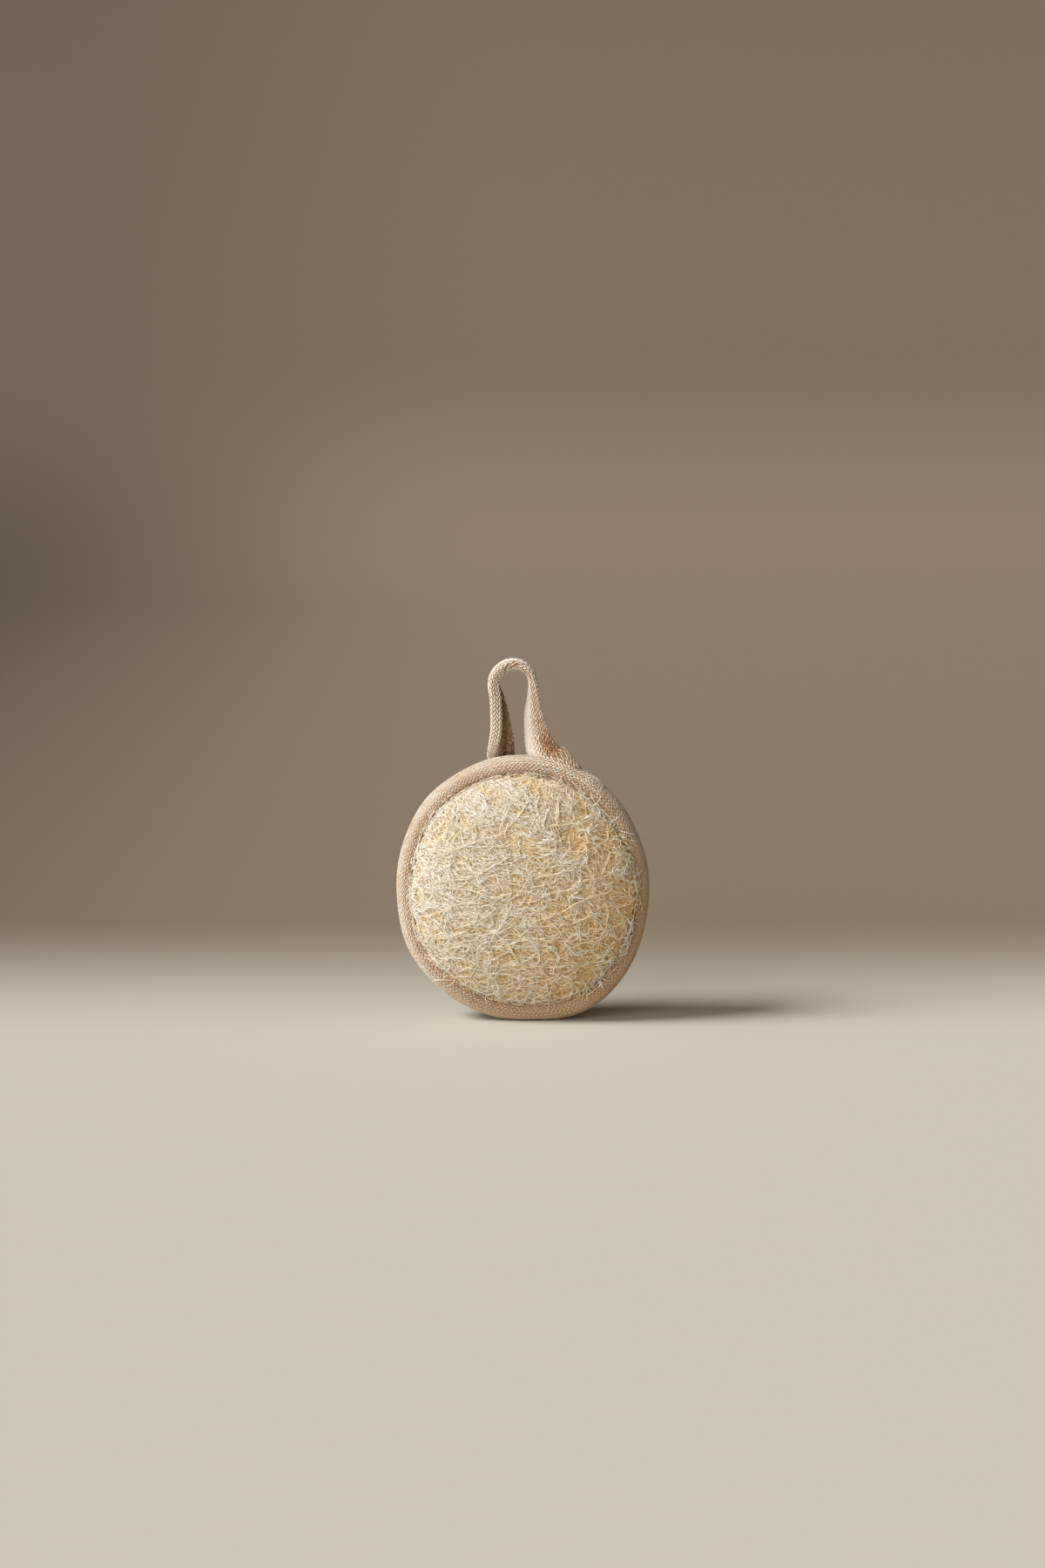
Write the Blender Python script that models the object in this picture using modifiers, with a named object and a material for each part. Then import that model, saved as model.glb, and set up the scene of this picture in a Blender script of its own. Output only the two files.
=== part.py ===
"""A round loofah bath sponge, bound round its rim with a cotton tape that also makes its hanging loop.

The sponge stands on its edge. X runs across its face, Y from its front to its back and Z up. The
origin lies under its middle, on the surface that it stands on. Lengths are in metres.
"""

import math
import random

import bmesh
import bpy
from mathutils import Vector

# The outline that the tape's outer side makes, seen from the front
HALF_WIDTH = 0.0500
HALF_HEIGHT = 0.0529
CENTRE_HEIGHT = 0.0524
# Soft places where the pad bulges past its oval: direction, height and spread
BULGES = (
    (math.radians(305), 0.0032, math.radians(33)),
    (math.radians(243), 0.0008, math.radians(16)),
    (math.radians(210), 0.0009, math.radians(16)),
    (math.radians(137), 0.0006, math.radians(16)),
    (math.radians(48), 0.0004, math.radians(14)),
)

# The tape where it is rolled over the rim
ROLL_HALF_THICKNESS = 0.0090
ROLL_DEPTH = 0.0059
ROLL_DEPTH_SWAY = 0.0008
ROLL_DEEPEST_AT = math.radians(290)
TAPE_THICKNESS = 0.0013
SEAM_AT = math.radians(103)
SEAM_DENT = 0.0006
SEAM_DENT_SPREAD = math.radians(6)
ROLL_LINES = tuple(math.radians(d) for d in (27, 54, 78, 95, 103, 111, 118))
RIM_STATIONS = 60

# The sewing thread on each face of the tape
THREAD_RADIUS = 0.0003
THREAD_WAVE = 0.00012
STITCHES = 36

# The loofah
CLEARANCE = 0.00035
PAD_HALF_THICKNESS = 0.0188
DOME_SQUARENESS = 2.4
DOME_FULLNESS = 0.62
EDGE_ROLLS = tuple(math.radians(d) for d in (0, 26, 52, 78, 103, 126))
DOME_SHARES = (1.0, 0.955, 0.86, 0.68, 0.42, 0.0)
DOME_START_INSET = 0.0006
DOME_START_RISE = 0.0004
PAD_SEGMENTS = 40

# The raised fibres on both faces of the loofah, thicker and fewer than in life
FIBRE_SEED = 11
FIBRES_A_FACE = 56
GOLDEN_ANGLE = math.pi * (3 - math.sqrt(5))
FIBRE_WIDTH = 0.0016
FIBRE_HEIGHT = 0.0018
FIBRE_STEP = 0.0050
FIBRE_STEPS = (2, 3)
FIBRE_GRAIN = math.radians(-14)
FIBRE_SPREAD = math.radians(38)
FIBRE_WANDER = math.radians(17)
FIBRE_LIFT = 0.0003
FIBRE_ROOT = 0.0009
FIBRE_MIDDLE_LIMIT = 0.86
FIBRE_LIMIT = 0.955

# The hanging loop, which is the same tape folded in three
LOOP_WIDTH = 0.0110
LOOP_THICKNESS = 0.0036
LOOP_ARCH_RADIUS = 0.0082
LOOP_ARCH_X = -0.0037
LOOP_ARCH_Z = 0.1331
LOOP_CLEARANCE = 0.00055
LOOP_FOLD_GROOVE = 0.0006
LOOP_FOLD_PLACE = 0.14
LOOP_FOLD_SPREAD = 0.09
LOOP_SECTION_POINTS = 18
LOOP_STATIONS = 42
LOOP_BACK_ANGLE = math.radians(99.3)
RIM_HUG_RADIUS = 0.0125

LOOFAH_COLOUR = (0.76, 0.67, 0.50, 1.0)
TAPE_COLOUR = (0.60, 0.47, 0.34, 1.0)
THREAD_COLOUR = (0.55, 0.43, 0.31, 1.0)


def clear_scene():
    """Takes every object out of the open scene."""
    for obj in list(bpy.data.objects):
        bpy.data.objects.remove(obj, do_unlink=True)


def new_collection(name, hidden=False):
    """A collection in the scene, left out of renders if it only holds helpers."""
    collection = bpy.data.collections.new(name)
    bpy.context.scene.collection.children.link(collection)
    collection.hide_render = hidden
    return collection


def finish(name, colour, roughness):
    """A matt material in one colour."""
    material = bpy.data.materials.new(name)
    material.use_nodes = True
    shader = material.node_tree.nodes["Principled BSDF"]
    shader.inputs["Base Color"].default_value = colour
    shader.inputs["Roughness"].default_value = roughness
    shader.inputs["Metallic"].default_value = 0.0
    material.diffuse_color = colour
    return material


def add_mesh(name, bm, collection, material, crease=math.radians(40)):
    """Makes an object from a bmesh, shaded smooth but for its sharp edges."""
    mesh = bpy.data.meshes.new(name)
    bm.to_mesh(mesh)
    bm.free()
    mesh.shade_smooth()
    mesh.set_sharp_from_angle(angle=crease)
    obj = bpy.data.objects.new(name, mesh)
    obj.data.materials.append(material)
    collection.objects.link(obj)
    return obj


def skin_from_grid(across, along, place):
    """A grid of across by along cells whose vertices are moved to place(u, v), with touching edges welded."""
    bm = bmesh.new()
    bmesh.ops.create_grid(bm, x_segments=across, y_segments=along, size=0.5)
    for vertex in bm.verts:
        vertex.co = place(vertex.co.x + 0.5, vertex.co.y + 0.5)
    bmesh.ops.remove_doubles(bm, verts=bm.verts, dist=1e-6)
    return bm


def turn_between(a, b):
    """The smallest turn from angle a to angle b."""
    return (b - a + math.pi) % (2 * math.pi) - math.pi


def outline_radius(angle):
    """How far the tape's outer side lies from the pad's middle, in a direction of the face."""
    oval = 1 / math.hypot(math.cos(angle) / HALF_WIDTH, math.sin(angle) / HALF_HEIGHT)
    bulge = sum(
        height * math.exp(-((turn_between(at, angle) / spread) ** 2))
        for at, height, spread in BULGES
    )
    return oval + bulge


def roll_depth(angle):
    """How far the tape's roll reaches inwards from the outline to its thickest place."""
    return ROLL_DEPTH + ROLL_DEPTH_SWAY * math.cos(angle - ROLL_DEEPEST_AT)


def from_face(angle, radius, depth):
    """A point given by its direction and distance from the pad's middle, and its depth."""
    return Vector(
        (radius * math.cos(angle), depth, CENTRE_HEIGHT + radius * math.sin(angle))
    )


def roll_section(angle, roll, outset):
    """Distance in from the outline and depth of a point round the roll, moved outwards by outset."""
    depth = roll_depth(angle)
    inward = depth * (1 - math.cos(roll))
    across = ROLL_HALF_THICKNESS * math.sin(roll)
    normal = Vector((-math.cos(roll) / depth, math.sin(roll) / ROLL_HALF_THICKNESS))
    normal.normalize()
    return inward + outset * normal.x, across + outset * normal.y


def on_rim(angle, roll, outset=0.0):
    """A point on the tape's outer side or outset from it, flattened where the pad stands on its surface."""
    inward, across = roll_section(angle, roll, outset)
    point = from_face(angle, outline_radius(angle) - inward, across)
    point.z = max(point.z, -1.4 * outset)
    return point


def seam_dent(roll):
    """How far the sewn seam pulls the tape in at a place round the roll."""
    off = (abs(roll) - SEAM_AT) / SEAM_DENT_SPREAD
    return SEAM_DENT * math.exp(-(off**2))


def dome_foot(angle):
    """Distance from the middle and depth of the foot of the loofah's dome, just inside the tape's edge."""
    inward, _ = roll_section(angle, ROLL_LINES[-1], 0.0)
    _, across = roll_section(angle, EDGE_ROLLS[-1], -TAPE_THICKNESS - CLEARANCE)
    return (
        outline_radius(angle) - inward - DOME_START_INSET,
        across + DOME_START_RISE,
    )


def dome_point(angle, share, side, lift=0.0):
    """A point on a face of the loofah, at a share of the way from its middle to its edge."""
    foot_radius, foot_depth = dome_foot(angle)
    fullness = max(0.0, 1 - share**DOME_SQUARENESS) ** DOME_FULLNESS
    depth = foot_depth + (PAD_HALF_THICKNESS - foot_depth) * fullness + lift
    return from_face(angle, share * foot_radius, side * depth)


def make_rim_binding(collection, material):
    """The tape rolled over the loofah's rim: a round of cloth, open towards the middle."""
    lines = [-line for line in reversed(ROLL_LINES)] + [0.0] + list(ROLL_LINES)

    def place(u, v):
        roll = lines[round(u * (len(lines) - 1))]
        return on_rim(v * 2 * math.pi, roll, -seam_dent(roll))

    bm = skin_from_grid(len(lines) - 1, RIM_STATIONS, place)
    tape = add_mesh("rim_binding", bm, collection, material)
    cloth = tape.modifiers.new("cloth", "SOLIDIFY")
    cloth.thickness = TAPE_THICKNESS
    cloth.offset = -1
    return tape


def make_seam_thread(name, side, collection, material):
    """One line of stitches, lying in the seam's dent and rising a little at each stitch."""
    curve = bpy.data.curves.new(name, "CURVE")
    curve.dimensions = "3D"
    curve.bevel_depth = THREAD_RADIUS
    curve.bevel_resolution = 0
    line = curve.splines.new("POLY")
    count = 2 * STITCHES
    line.points.add(count - 1)
    rest = THREAD_RADIUS + CLEARANCE - SEAM_DENT
    for i, point in enumerate(line.points):
        wave = THREAD_WAVE * (1 if i % 2 else 0)
        place = on_rim(2 * math.pi * i / count, side * SEAM_AT, rest + wave)
        point.co = (*place, 1)
    line.use_cyclic_u = True
    curve.materials.append(material)
    obj = bpy.data.objects.new(name, curve)
    collection.objects.link(obj)
    return obj


def pad_point(angle, ring, side):
    """A point of the loofah's body on a ring counted from its edge to the middle of a face."""
    if ring < len(EDGE_ROLLS):
        roll = EDGE_ROLLS[ring]
        inset = TAPE_THICKNESS + CLEARANCE + seam_dent(roll)
        return on_rim(angle, side * roll, -inset)
    return dome_point(angle, DOME_SHARES[ring - len(EDGE_ROLLS)], side)


def make_loofah_body(collection, material):
    """The loofah without its fibres: a sphere whose rings are moved to the cushion's rings."""
    half_rings = len(EDGE_ROLLS) + len(DOME_SHARES) - 1
    bm = bmesh.new()
    bmesh.ops.create_uvsphere(
        bm, u_segments=PAD_SEGMENTS, v_segments=2 * half_rings, radius=1.0
    )
    for vertex in bm.verts:
        angle = math.atan2(vertex.co.y, vertex.co.x)
        from_edge = math.asin(max(-1.0, min(1.0, vertex.co.z))) / (math.pi / 2)
        ring = round(abs(from_edge) * half_rings)
        vertex.co = pad_point(angle, ring, 1 if from_edge > 0 else -1)
    bmesh.ops.recalc_face_normals(bm, faces=bm.faces)
    bmesh.ops.triangulate(bm, faces=bm.faces)
    return add_mesh("loofah_pad", bm, collection, material)


def fibre_route(rng, number):
    """Places (direction, share) along one fibre, which wanders over a face both ways from its middle.

    The middles lie on a sunflower's spiral, so that the fibres cover the face evenly.
    """
    angle = number * GOLDEN_ANGLE + rng.uniform(-0.2, 0.2)
    radius = math.sqrt((number + 0.5) / FIBRES_A_FACE) * FIBRE_MIDDLE_LIMIT
    start = Vector((HALF_WIDTH * math.cos(angle), HALF_HEIGHT * math.sin(angle)))
    start *= radius
    first_heading = FIBRE_GRAIN + rng.gauss(0, 1) * FIBRE_SPREAD
    halves = []
    for way in (0, math.pi):
        place = start.copy()
        heading = first_heading + way
        half = []
        for _ in range(rng.randint(*FIBRE_STEPS)):
            heading += rng.gauss(0, 1) * FIBRE_WANDER
            place += FIBRE_STEP * Vector((math.cos(heading), math.sin(heading)))
            half.append(place.copy())
        halves.append(half)
    route = []
    for place in halves[1][::-1] + [start] + halves[0]:
        angle = math.atan2(place.y, place.x)
        share = place.length / dome_foot(angle)[0]
        if share < FIBRE_LIMIT:
            route.append((angle, share))
    return route


def fibre_profile(collection):
    """The section of a raised fibre: a ridge with its foot below the surface."""
    curve = bpy.data.curves.new("fibre_profile", "CURVE")
    line = curve.splines.new("POLY")
    line.points.add(2)
    corners = ((-0.5, -0.55), (0.5, -0.55), (0.0, 0.45))
    for point, (across, up) in zip(line.points, corners):
        point.co = (across * FIBRE_WIDTH, up * FIBRE_HEIGHT, 0, 1)
    line.use_cyclic_u = True
    profile = bpy.data.objects.new("fibre_profile", curve)
    collection.objects.link(profile)
    return profile


def make_fibre(name, route, side, profile, collection):
    """One fibre as a closed mesh: a three-sided ridge along a route, with both ends sunk in the loofah."""
    curve = bpy.data.curves.new(name, "CURVE")
    curve.dimensions = "3D"
    curve.twist_mode = "Z_UP"
    curve.bevel_mode = "OBJECT"
    curve.bevel_object = profile
    curve.use_fill_caps = True
    guide = bpy.data.objects.new(name, curve)
    guide.rotation_euler.x = -side * math.pi / 2
    collection.objects.link(guide)
    bpy.context.view_layer.update()
    to_guide = guide.matrix_world.inverted()
    line = curve.splines.new("POLY")
    line.points.add(len(route) - 1)
    for i, (point, (angle, share)) in enumerate(zip(line.points, route)):
        lift = -FIBRE_ROOT if i in (0, len(route) - 1) else FIBRE_LIFT
        point.co = (*(to_guide @ dome_point(angle, share, side, lift)), 1)
    graph = bpy.context.evaluated_depsgraph_get()
    mesh = bpy.data.meshes.new_from_object(guide.evaluated_get(graph))
    bm = bmesh.new()
    bm.from_mesh(mesh)
    bmesh.ops.remove_doubles(bm, verts=bm.verts, dist=1e-6)
    bmesh.ops.recalc_face_normals(bm, faces=bm.faces)
    bmesh.ops.triangulate(bm, faces=bm.faces)
    bm.to_mesh(mesh)
    bm.free()
    rod = bpy.data.objects.new(name + "_rod", mesh)
    rod.matrix_world = guide.matrix_world
    collection.objects.link(rod)
    bpy.data.objects.remove(guide, do_unlink=True)
    return rod


def keep_outer_skin(mesh):
    """Fills the pockets that crossing fibres close off, by keeping only the mesh's largest connected skin."""
    bm = bmesh.new()
    bm.from_mesh(mesh)
    unseen = set(bm.verts)
    skins = []
    while unseen:
        skin = set()
        edge_of_search = [unseen.pop()]
        while edge_of_search:
            vertex = edge_of_search.pop()
            skin.add(vertex)
            for edge in vertex.link_edges:
                other = edge.other_vert(vertex)
                if other in unseen:
                    unseen.remove(other)
                    edge_of_search.append(other)
        skins.append(skin)
    skins.sort(key=len)
    for skin in skins[:-1]:
        bmesh.ops.delete(bm, geom=list(skin), context="VERTS")
    bm.to_mesh(mesh)
    bm.free()


def grow_fibres(loofah, helpers):
    """Joins seeded fibres to both faces of the loofah in one union."""
    rng = random.Random(FIBRE_SEED)
    profile = fibre_profile(helpers)
    for side in (-1, 1):
        for number in range(FIBRES_A_FACE):
            route = fibre_route(rng, number)
            make_fibre(f"fibre_{number}", route, side, profile, helpers)
    bpy.data.objects.remove(profile, do_unlink=True)
    union = loofah.modifiers.new("fibres", "BOOLEAN")
    union.operation = "UNION"
    union.operand_type = "COLLECTION"
    union.collection = helpers
    graph = bpy.context.evaluated_depsgraph_get()
    joined = bpy.data.meshes.new_from_object(loofah.evaluated_get(graph))
    loofah.modifiers.remove(union)
    loofah.data = joined
    keep_outer_skin(joined)
    for rod in list(helpers.objects):
        bpy.data.objects.remove(rod, do_unlink=True)


def free_width(turn):
    """The direction across the loop's tape where it hangs free, turned about the upright."""
    return Vector((math.sin(turn), math.cos(turn), 0))


def loop_keys():
    """The loop's run from its sewn end on the back of the rim, over its arch, to its end along the rim.

    Each key holds the tape's middle, the direction of its width, its width and thickness, and
    how strongly it is curled round the rim.
    """
    keys = []
    for roll, thickness in ((84, 0.0022), (66, 0.0026), (48, 0.0030)):
        outset = LOOP_CLEARANCE + thickness / 2
        middle = on_rim(LOOP_BACK_ANGLE, math.radians(roll), outset)
        along_rim = Vector((math.sin(LOOP_BACK_ANGLE), 0, -math.cos(LOOP_BACK_ANGLE)))
        keys.append((middle, along_rim, LOOP_WIDTH, thickness, 0.0))
    left_leg = (
        (-0.0088, 0.0050, 0.1075, 72),
        (-0.0090, 0.0024, 0.1115, 56),
        (-0.0094, 0.0008, 0.1162, 40),
        (-0.0100, 0.0001, 0.1218, 32),
        (-0.0109, 0.0000, 0.1275, 22),
    )
    for x, y, z, turn in left_leg:
        width = free_width(math.radians(turn))
        keys.append((Vector((x, y, z)), width, LOOP_WIDTH, LOOP_THICKNESS, 0.0))
    for degrees, turn in ((180, 11), (143, 7), (106, 3), (69, 0), (32, -4), (0, -8)):
        angle = math.radians(degrees)
        x = LOOP_ARCH_X + LOOP_ARCH_RADIUS * math.cos(angle)
        z = LOOP_ARCH_Z + LOOP_ARCH_RADIUS * math.sin(angle)
        width = free_width(math.radians(turn))
        keys.append((Vector((x, 0, z)), width, LOOP_WIDTH, LOOP_THICKNESS, 0.0))
    right_leg = (
        (0.0042, 0.0001, 0.1272, -21, 0.0112, 0.0036, 0.0),
        (0.0042, 0.0002, 0.1212, -38, 0.0118, 0.0036, 0.0),
        (0.0049, 0.0001, 0.1156, -50, 0.0130, 0.0035, 0.0),
        (0.0069, 0.0000, 0.1105, -52, 0.0148, 0.0033, 0.2),
    )
    for x, y, z, turn, width, thickness, curl in right_leg:
        across = free_width(math.radians(turn))
        keys.append((Vector((x, y, z)), across, width, thickness, curl))
    along_rim = (
        (77, 0.0160, 0.0028),
        (70, 0.0174, 0.0022),
        (63, 0.0180, 0.0017),
        (57, 0.0184, 0.0011),
    )
    for degrees, width, thickness in along_rim:
        outset = LOOP_CLEARANCE + thickness / 2
        middle = on_rim(math.radians(degrees), 0.0, outset)
        keys.append((middle, Vector((0, 1, 0)), width, thickness, 1.0))
    return keys


def smooth_between(before, a, b, after, share):
    """A value on the smooth curve that passes through a and b."""
    rise = (b - before) * 0.5
    fall = (after - a) * 0.5
    s2, s3 = share * share, share**3
    return (
        a * (2 * s3 - 3 * s2 + 1)
        + rise * (s3 - 2 * s2 + share)
        + b * (3 * s2 - 2 * s3)
        + fall * (s3 - s2)
    )


def along_keys(keys, place):
    """The loop's key values at a place from 0 to 1 along its run."""
    at = min(place, 1.0) * (len(keys) - 1)
    i = min(int(at), len(keys) - 2)
    rows = [keys[max(i - 1, 0)], keys[i], keys[i + 1], keys[min(i + 2, len(keys) - 1)]]
    return [smooth_between(*values, at - i) for values in zip(*rows)]


def fold_section(around, width, thickness):
    """A point of the folded tape's section: flat with round edges, and a groove on its inner face."""
    turn = 2 * math.pi * around
    c, s = math.cos(turn), math.sin(turn)
    x = math.copysign(abs(c) ** 0.55, c) * width / 2
    n = math.copysign(abs(s) ** 0.8, s) * thickness / 2
    if n < 0:
        off = (x / width - LOOP_FOLD_PLACE) / LOOP_FOLD_SPREAD
        n += LOOP_FOLD_GROOVE * (thickness / LOOP_THICKNESS) ** 2 * math.exp(-(off**2))
    return x, n


def curled(x, n, curl):
    """The section's point bent round the rim."""
    if curl < 0.01:
        return x, n
    radius = RIM_HUG_RADIUS / curl
    turn = x / radius
    return (radius + n) * math.sin(turn), (radius + n) * math.cos(turn) - radius


def clear_of_rim(point):
    """The point itself, or the place straight outwards from it where it is just clear of the tape's roll."""
    angle = math.atan2(point.z - CENTRE_HEIGHT, point.x)
    reach = ROLL_HALF_THICKNESS + LOOP_CLEARANCE
    if abs(point.y) >= reach:
        return point
    roll = math.asin(point.y / reach)
    depth = roll_depth(angle)
    surface = outline_radius(angle) - depth + (depth + LOOP_CLEARANCE) * math.cos(roll)
    radius = math.hypot(point.x, point.z - CENTRE_HEIGHT)
    return point if radius >= surface else from_face(angle, surface, point.y)


def make_hanging_loop(collection, material):
    """The tape folded in three: sewn to the back of the rim, up, over its arch, down and along the rim."""
    keys = loop_keys()
    tiny = 0.002

    def place(u, v):
        middle, across, width, thickness, curl = along_keys(keys, v)
        ahead = along_keys(keys, min(v + tiny, 1.0))[0]
        behind = along_keys(keys, max(v - tiny, 0.0))[0]
        tangent = (ahead - behind).normalized()
        across = (across - tangent * across.dot(tangent)).normalized()
        outward = tangent.cross(across)
        x, n = curled(*fold_section(u, width, thickness), curl)
        return clear_of_rim(middle + across * x + outward * n)

    bm = skin_from_grid(LOOP_SECTION_POINTS, LOOP_STATIONS, place)
    bmesh.ops.holes_fill(bm, edges=[e for e in bm.edges if e.is_boundary])
    bmesh.ops.triangulate(bm, faces=[f for f in bm.faces if len(f.verts) > 4])
    bmesh.ops.recalc_face_normals(bm, faces=bm.faces)
    return add_mesh("hanging_loop", bm, collection, material)


def main():
    """Builds the loofah, the tape round it, its two seams and its loop."""
    clear_scene()
    parts = new_collection("loofah_sponge_with_loop")
    helpers = new_collection("fibre_rods", hidden=True)
    loofah_finish = finish("loofah", LOOFAH_COLOUR, 0.6)
    tape_finish = finish("cotton_tape", TAPE_COLOUR, 0.95)
    thread_finish = finish("cotton_thread", THREAD_COLOUR, 0.9)
    loofah = make_loofah_body(parts, loofah_finish)
    grow_fibres(loofah, helpers)
    make_rim_binding(parts, tape_finish)
    make_hanging_loop(parts, tape_finish)
    make_seam_thread("seam_thread_front", -1, parts, thread_finish)
    make_seam_thread("seam_thread_back", 1, parts, thread_finish)


main()
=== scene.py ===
"""Dresses a packed round loofah sponge with its fibres, its woven tape, its stitches and its loop.

The sponge stands on its edge. X runs across its face, Y from its front to its back and Z up. The
origin lies under its middle, on the floor. Every length is in metres.
"""

import logging  # noqa: E402
import math  # noqa: E402
import random  # noqa: E402
from dataclasses import dataclass, field  # noqa: E402
from enum import Enum  # noqa: E402
from typing import Any, Callable  # noqa: E402

import bpy  # noqa: E402
import numpy as np  # noqa: E402
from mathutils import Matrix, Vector  # noqa: E402

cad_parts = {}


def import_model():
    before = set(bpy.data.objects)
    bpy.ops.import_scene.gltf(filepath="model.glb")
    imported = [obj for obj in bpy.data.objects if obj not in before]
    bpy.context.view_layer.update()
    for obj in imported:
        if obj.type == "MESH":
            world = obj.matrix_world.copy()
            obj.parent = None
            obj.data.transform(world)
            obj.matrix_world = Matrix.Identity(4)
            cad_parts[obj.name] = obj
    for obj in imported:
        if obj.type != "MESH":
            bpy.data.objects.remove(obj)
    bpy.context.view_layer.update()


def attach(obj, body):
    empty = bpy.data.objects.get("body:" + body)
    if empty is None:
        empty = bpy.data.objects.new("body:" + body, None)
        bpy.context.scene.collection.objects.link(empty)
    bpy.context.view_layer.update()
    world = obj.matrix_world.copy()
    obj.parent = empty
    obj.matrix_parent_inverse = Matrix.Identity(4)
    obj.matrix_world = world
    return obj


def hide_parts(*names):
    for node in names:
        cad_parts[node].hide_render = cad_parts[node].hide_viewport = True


LOG = logging.getLogger("loofah")
Array = np.ndarray
Colour = tuple[float, float, float]

MM = 0.001
FULL_TURN = 2 * math.pi
BAKE_MAP = "OFBake"
TONE = "tone"
BODY = "root"


class Face(Enum):
    """A face of the sponge, by the way that it looks along Y."""

    FRONT = -1
    BACK = 1


class Slot(Enum):
    """The record's material slots."""

    LOOFAH = "loofah"
    TAPE = "cotton_tape"
    THREAD = "cotton_thread"


# ---------------------------------------------------------------- shader maths


class Value:
    """A node's output that can be used in a Python expression, which adds Math nodes."""

    def __init__(self, graph: "Graph", socket: bpy.types.NodeSocket) -> None:
        """Wraps a socket.

        Args:
            graph: The material's graph that the socket belongs to.
            socket: The output to wrap.
        """
        self.graph = graph
        self.socket = socket

    def _math(self, operation: str, a: Any, b: Any) -> "Value":
        """A Math node on two values or numbers."""
        return self.graph.node("ShaderNodeMath", {"operation": operation}, {0: a, 1: b})

    def __add__(self, other: Any) -> "Value":
        """The sum."""
        return self._math("ADD", self, other)

    __radd__ = __add__

    def __sub__(self, other: Any) -> "Value":
        """The difference."""
        return self._math("SUBTRACT", self, other)

    def __rsub__(self, other: Any) -> "Value":
        """The difference, from the other side."""
        return self._math("SUBTRACT", other, self)

    def __mul__(self, other: Any) -> "Value":
        """The product."""
        return self._math("MULTIPLY", self, other)

    __rmul__ = __mul__

    def __truediv__(self, other: Any) -> "Value":
        """The quotient."""
        return self._math("DIVIDE", self, other)

    def __neg__(self) -> "Value":
        """The negative."""
        return self._math("MULTIPLY", self, -1.0)

    def clamped(self, low: float = 0.0, high: float = 1.0) -> "Value":
        """The value held between two numbers."""
        return self._math("MINIMUM", self._math("MAXIMUM", self, low), high)


class Graph:
    """A material's node tree, with one method that adds any node."""

    def __init__(self, name: str) -> None:
        """Makes a material with a Principled shader.

        Args:
            name: The material's name.
        """
        self.material = bpy.data.materials.new(name)
        self.material.use_nodes = True
        self.tree = self.material.node_tree
        self.shader = self.tree.nodes["Principled BSDF"]

    def _fill(self, socket: bpy.types.NodeSocket, value: Any) -> None:
        """Links a value to a socket, or sets the socket to it."""
        if isinstance(value, Value):
            self.tree.links.new(value.socket, socket)
        elif socket.type == "RGBA" and len(value) == 3:
            socket.default_value = (*value, 1.0)
        else:
            socket.default_value = value

    def node(
        self,
        kind: str,
        settings: dict[str, Any] | None = None,
        inputs: dict[Any, Any] | None = None,
        output: Any = 0,
    ) -> Value:
        """Adds a node.

        Args:
            kind: The node's type.
            settings: What is set before its sockets; "stops" gives a ramp's positions and colours.
            inputs: The values or links of its sockets.
            output: The output that is wanted.

        Returns:
            The output, ready for expressions.
        """
        made = self.tree.nodes.new(kind)
        for name, value in (settings or {}).items():
            if name == "stops":
                ramp = made.color_ramp.elements
                while len(ramp) < len(value):
                    ramp.new(0.5)
                for stop, (place, colour) in zip(ramp, value):
                    stop.position = place
                    stop.color = (*colour, 1.0)
            else:
                setattr(made, name, value)
        for key, value in (inputs or {}).items():
            self._fill(made.inputs[key], value)
        return Value(self, made.outputs[output])

    def place(self) -> Value:
        """The object's own coordinates."""
        return self.node("ShaderNodeTexCoord", output="Object")

    def tone(self, name: str = TONE) -> Value:
        """A number stored on the mesh's points."""
        settings = {"attribute_type": "GEOMETRY", "attribute_name": name}
        return self.node("ShaderNodeAttribute", settings, output="Fac")

    def noise(self, scale: float, detail: float = 3.0, rough: float = 0.5) -> Value:
        """Soft noise on object coordinates, from 0 to 1."""
        inputs = {
            "Vector": self.place(),
            "Scale": scale,
            "Detail": detail,
            "Roughness": rough,
        }
        return self.node("ShaderNodeTexNoise", {"noise_dimensions": "3D"}, inputs)

    def mixed(self, share: Any, a: Any, b: Any) -> Value:
        """A colour between a and b."""
        settings = {"data_type": "RGBA", "clamp_factor": True}
        return self.node("ShaderNodeMix", settings, {0: share, 6: a, 7: b}, 2)

    def scaled(self, colour: Value | Colour, amount: Any) -> Value:
        """A colour made lighter or darker by a number."""
        grey = self.node("ShaderNodeCombineXYZ", None, {0: amount, 1: amount, 2: amount})
        settings = {"operation": "MULTIPLY"}
        return self.node("ShaderNodeVectorMath", settings, {0: colour, 1: grey})

    def bumped(self, height: Value, distance: float, strength: float = 1.0) -> None:
        """Feeds a height to the shader's normal."""
        inputs = {"Height": height, "Distance": distance, "Strength": strength}
        self.feed("Normal", self.node("ShaderNodeBump", None, inputs))

    def feed(self, name: str, value: Any) -> None:
        """Sets or links one of the shader's sockets."""
        self._fill(self.shader.inputs[name], value)


# ---------------------------------------------------------------- finishes


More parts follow.
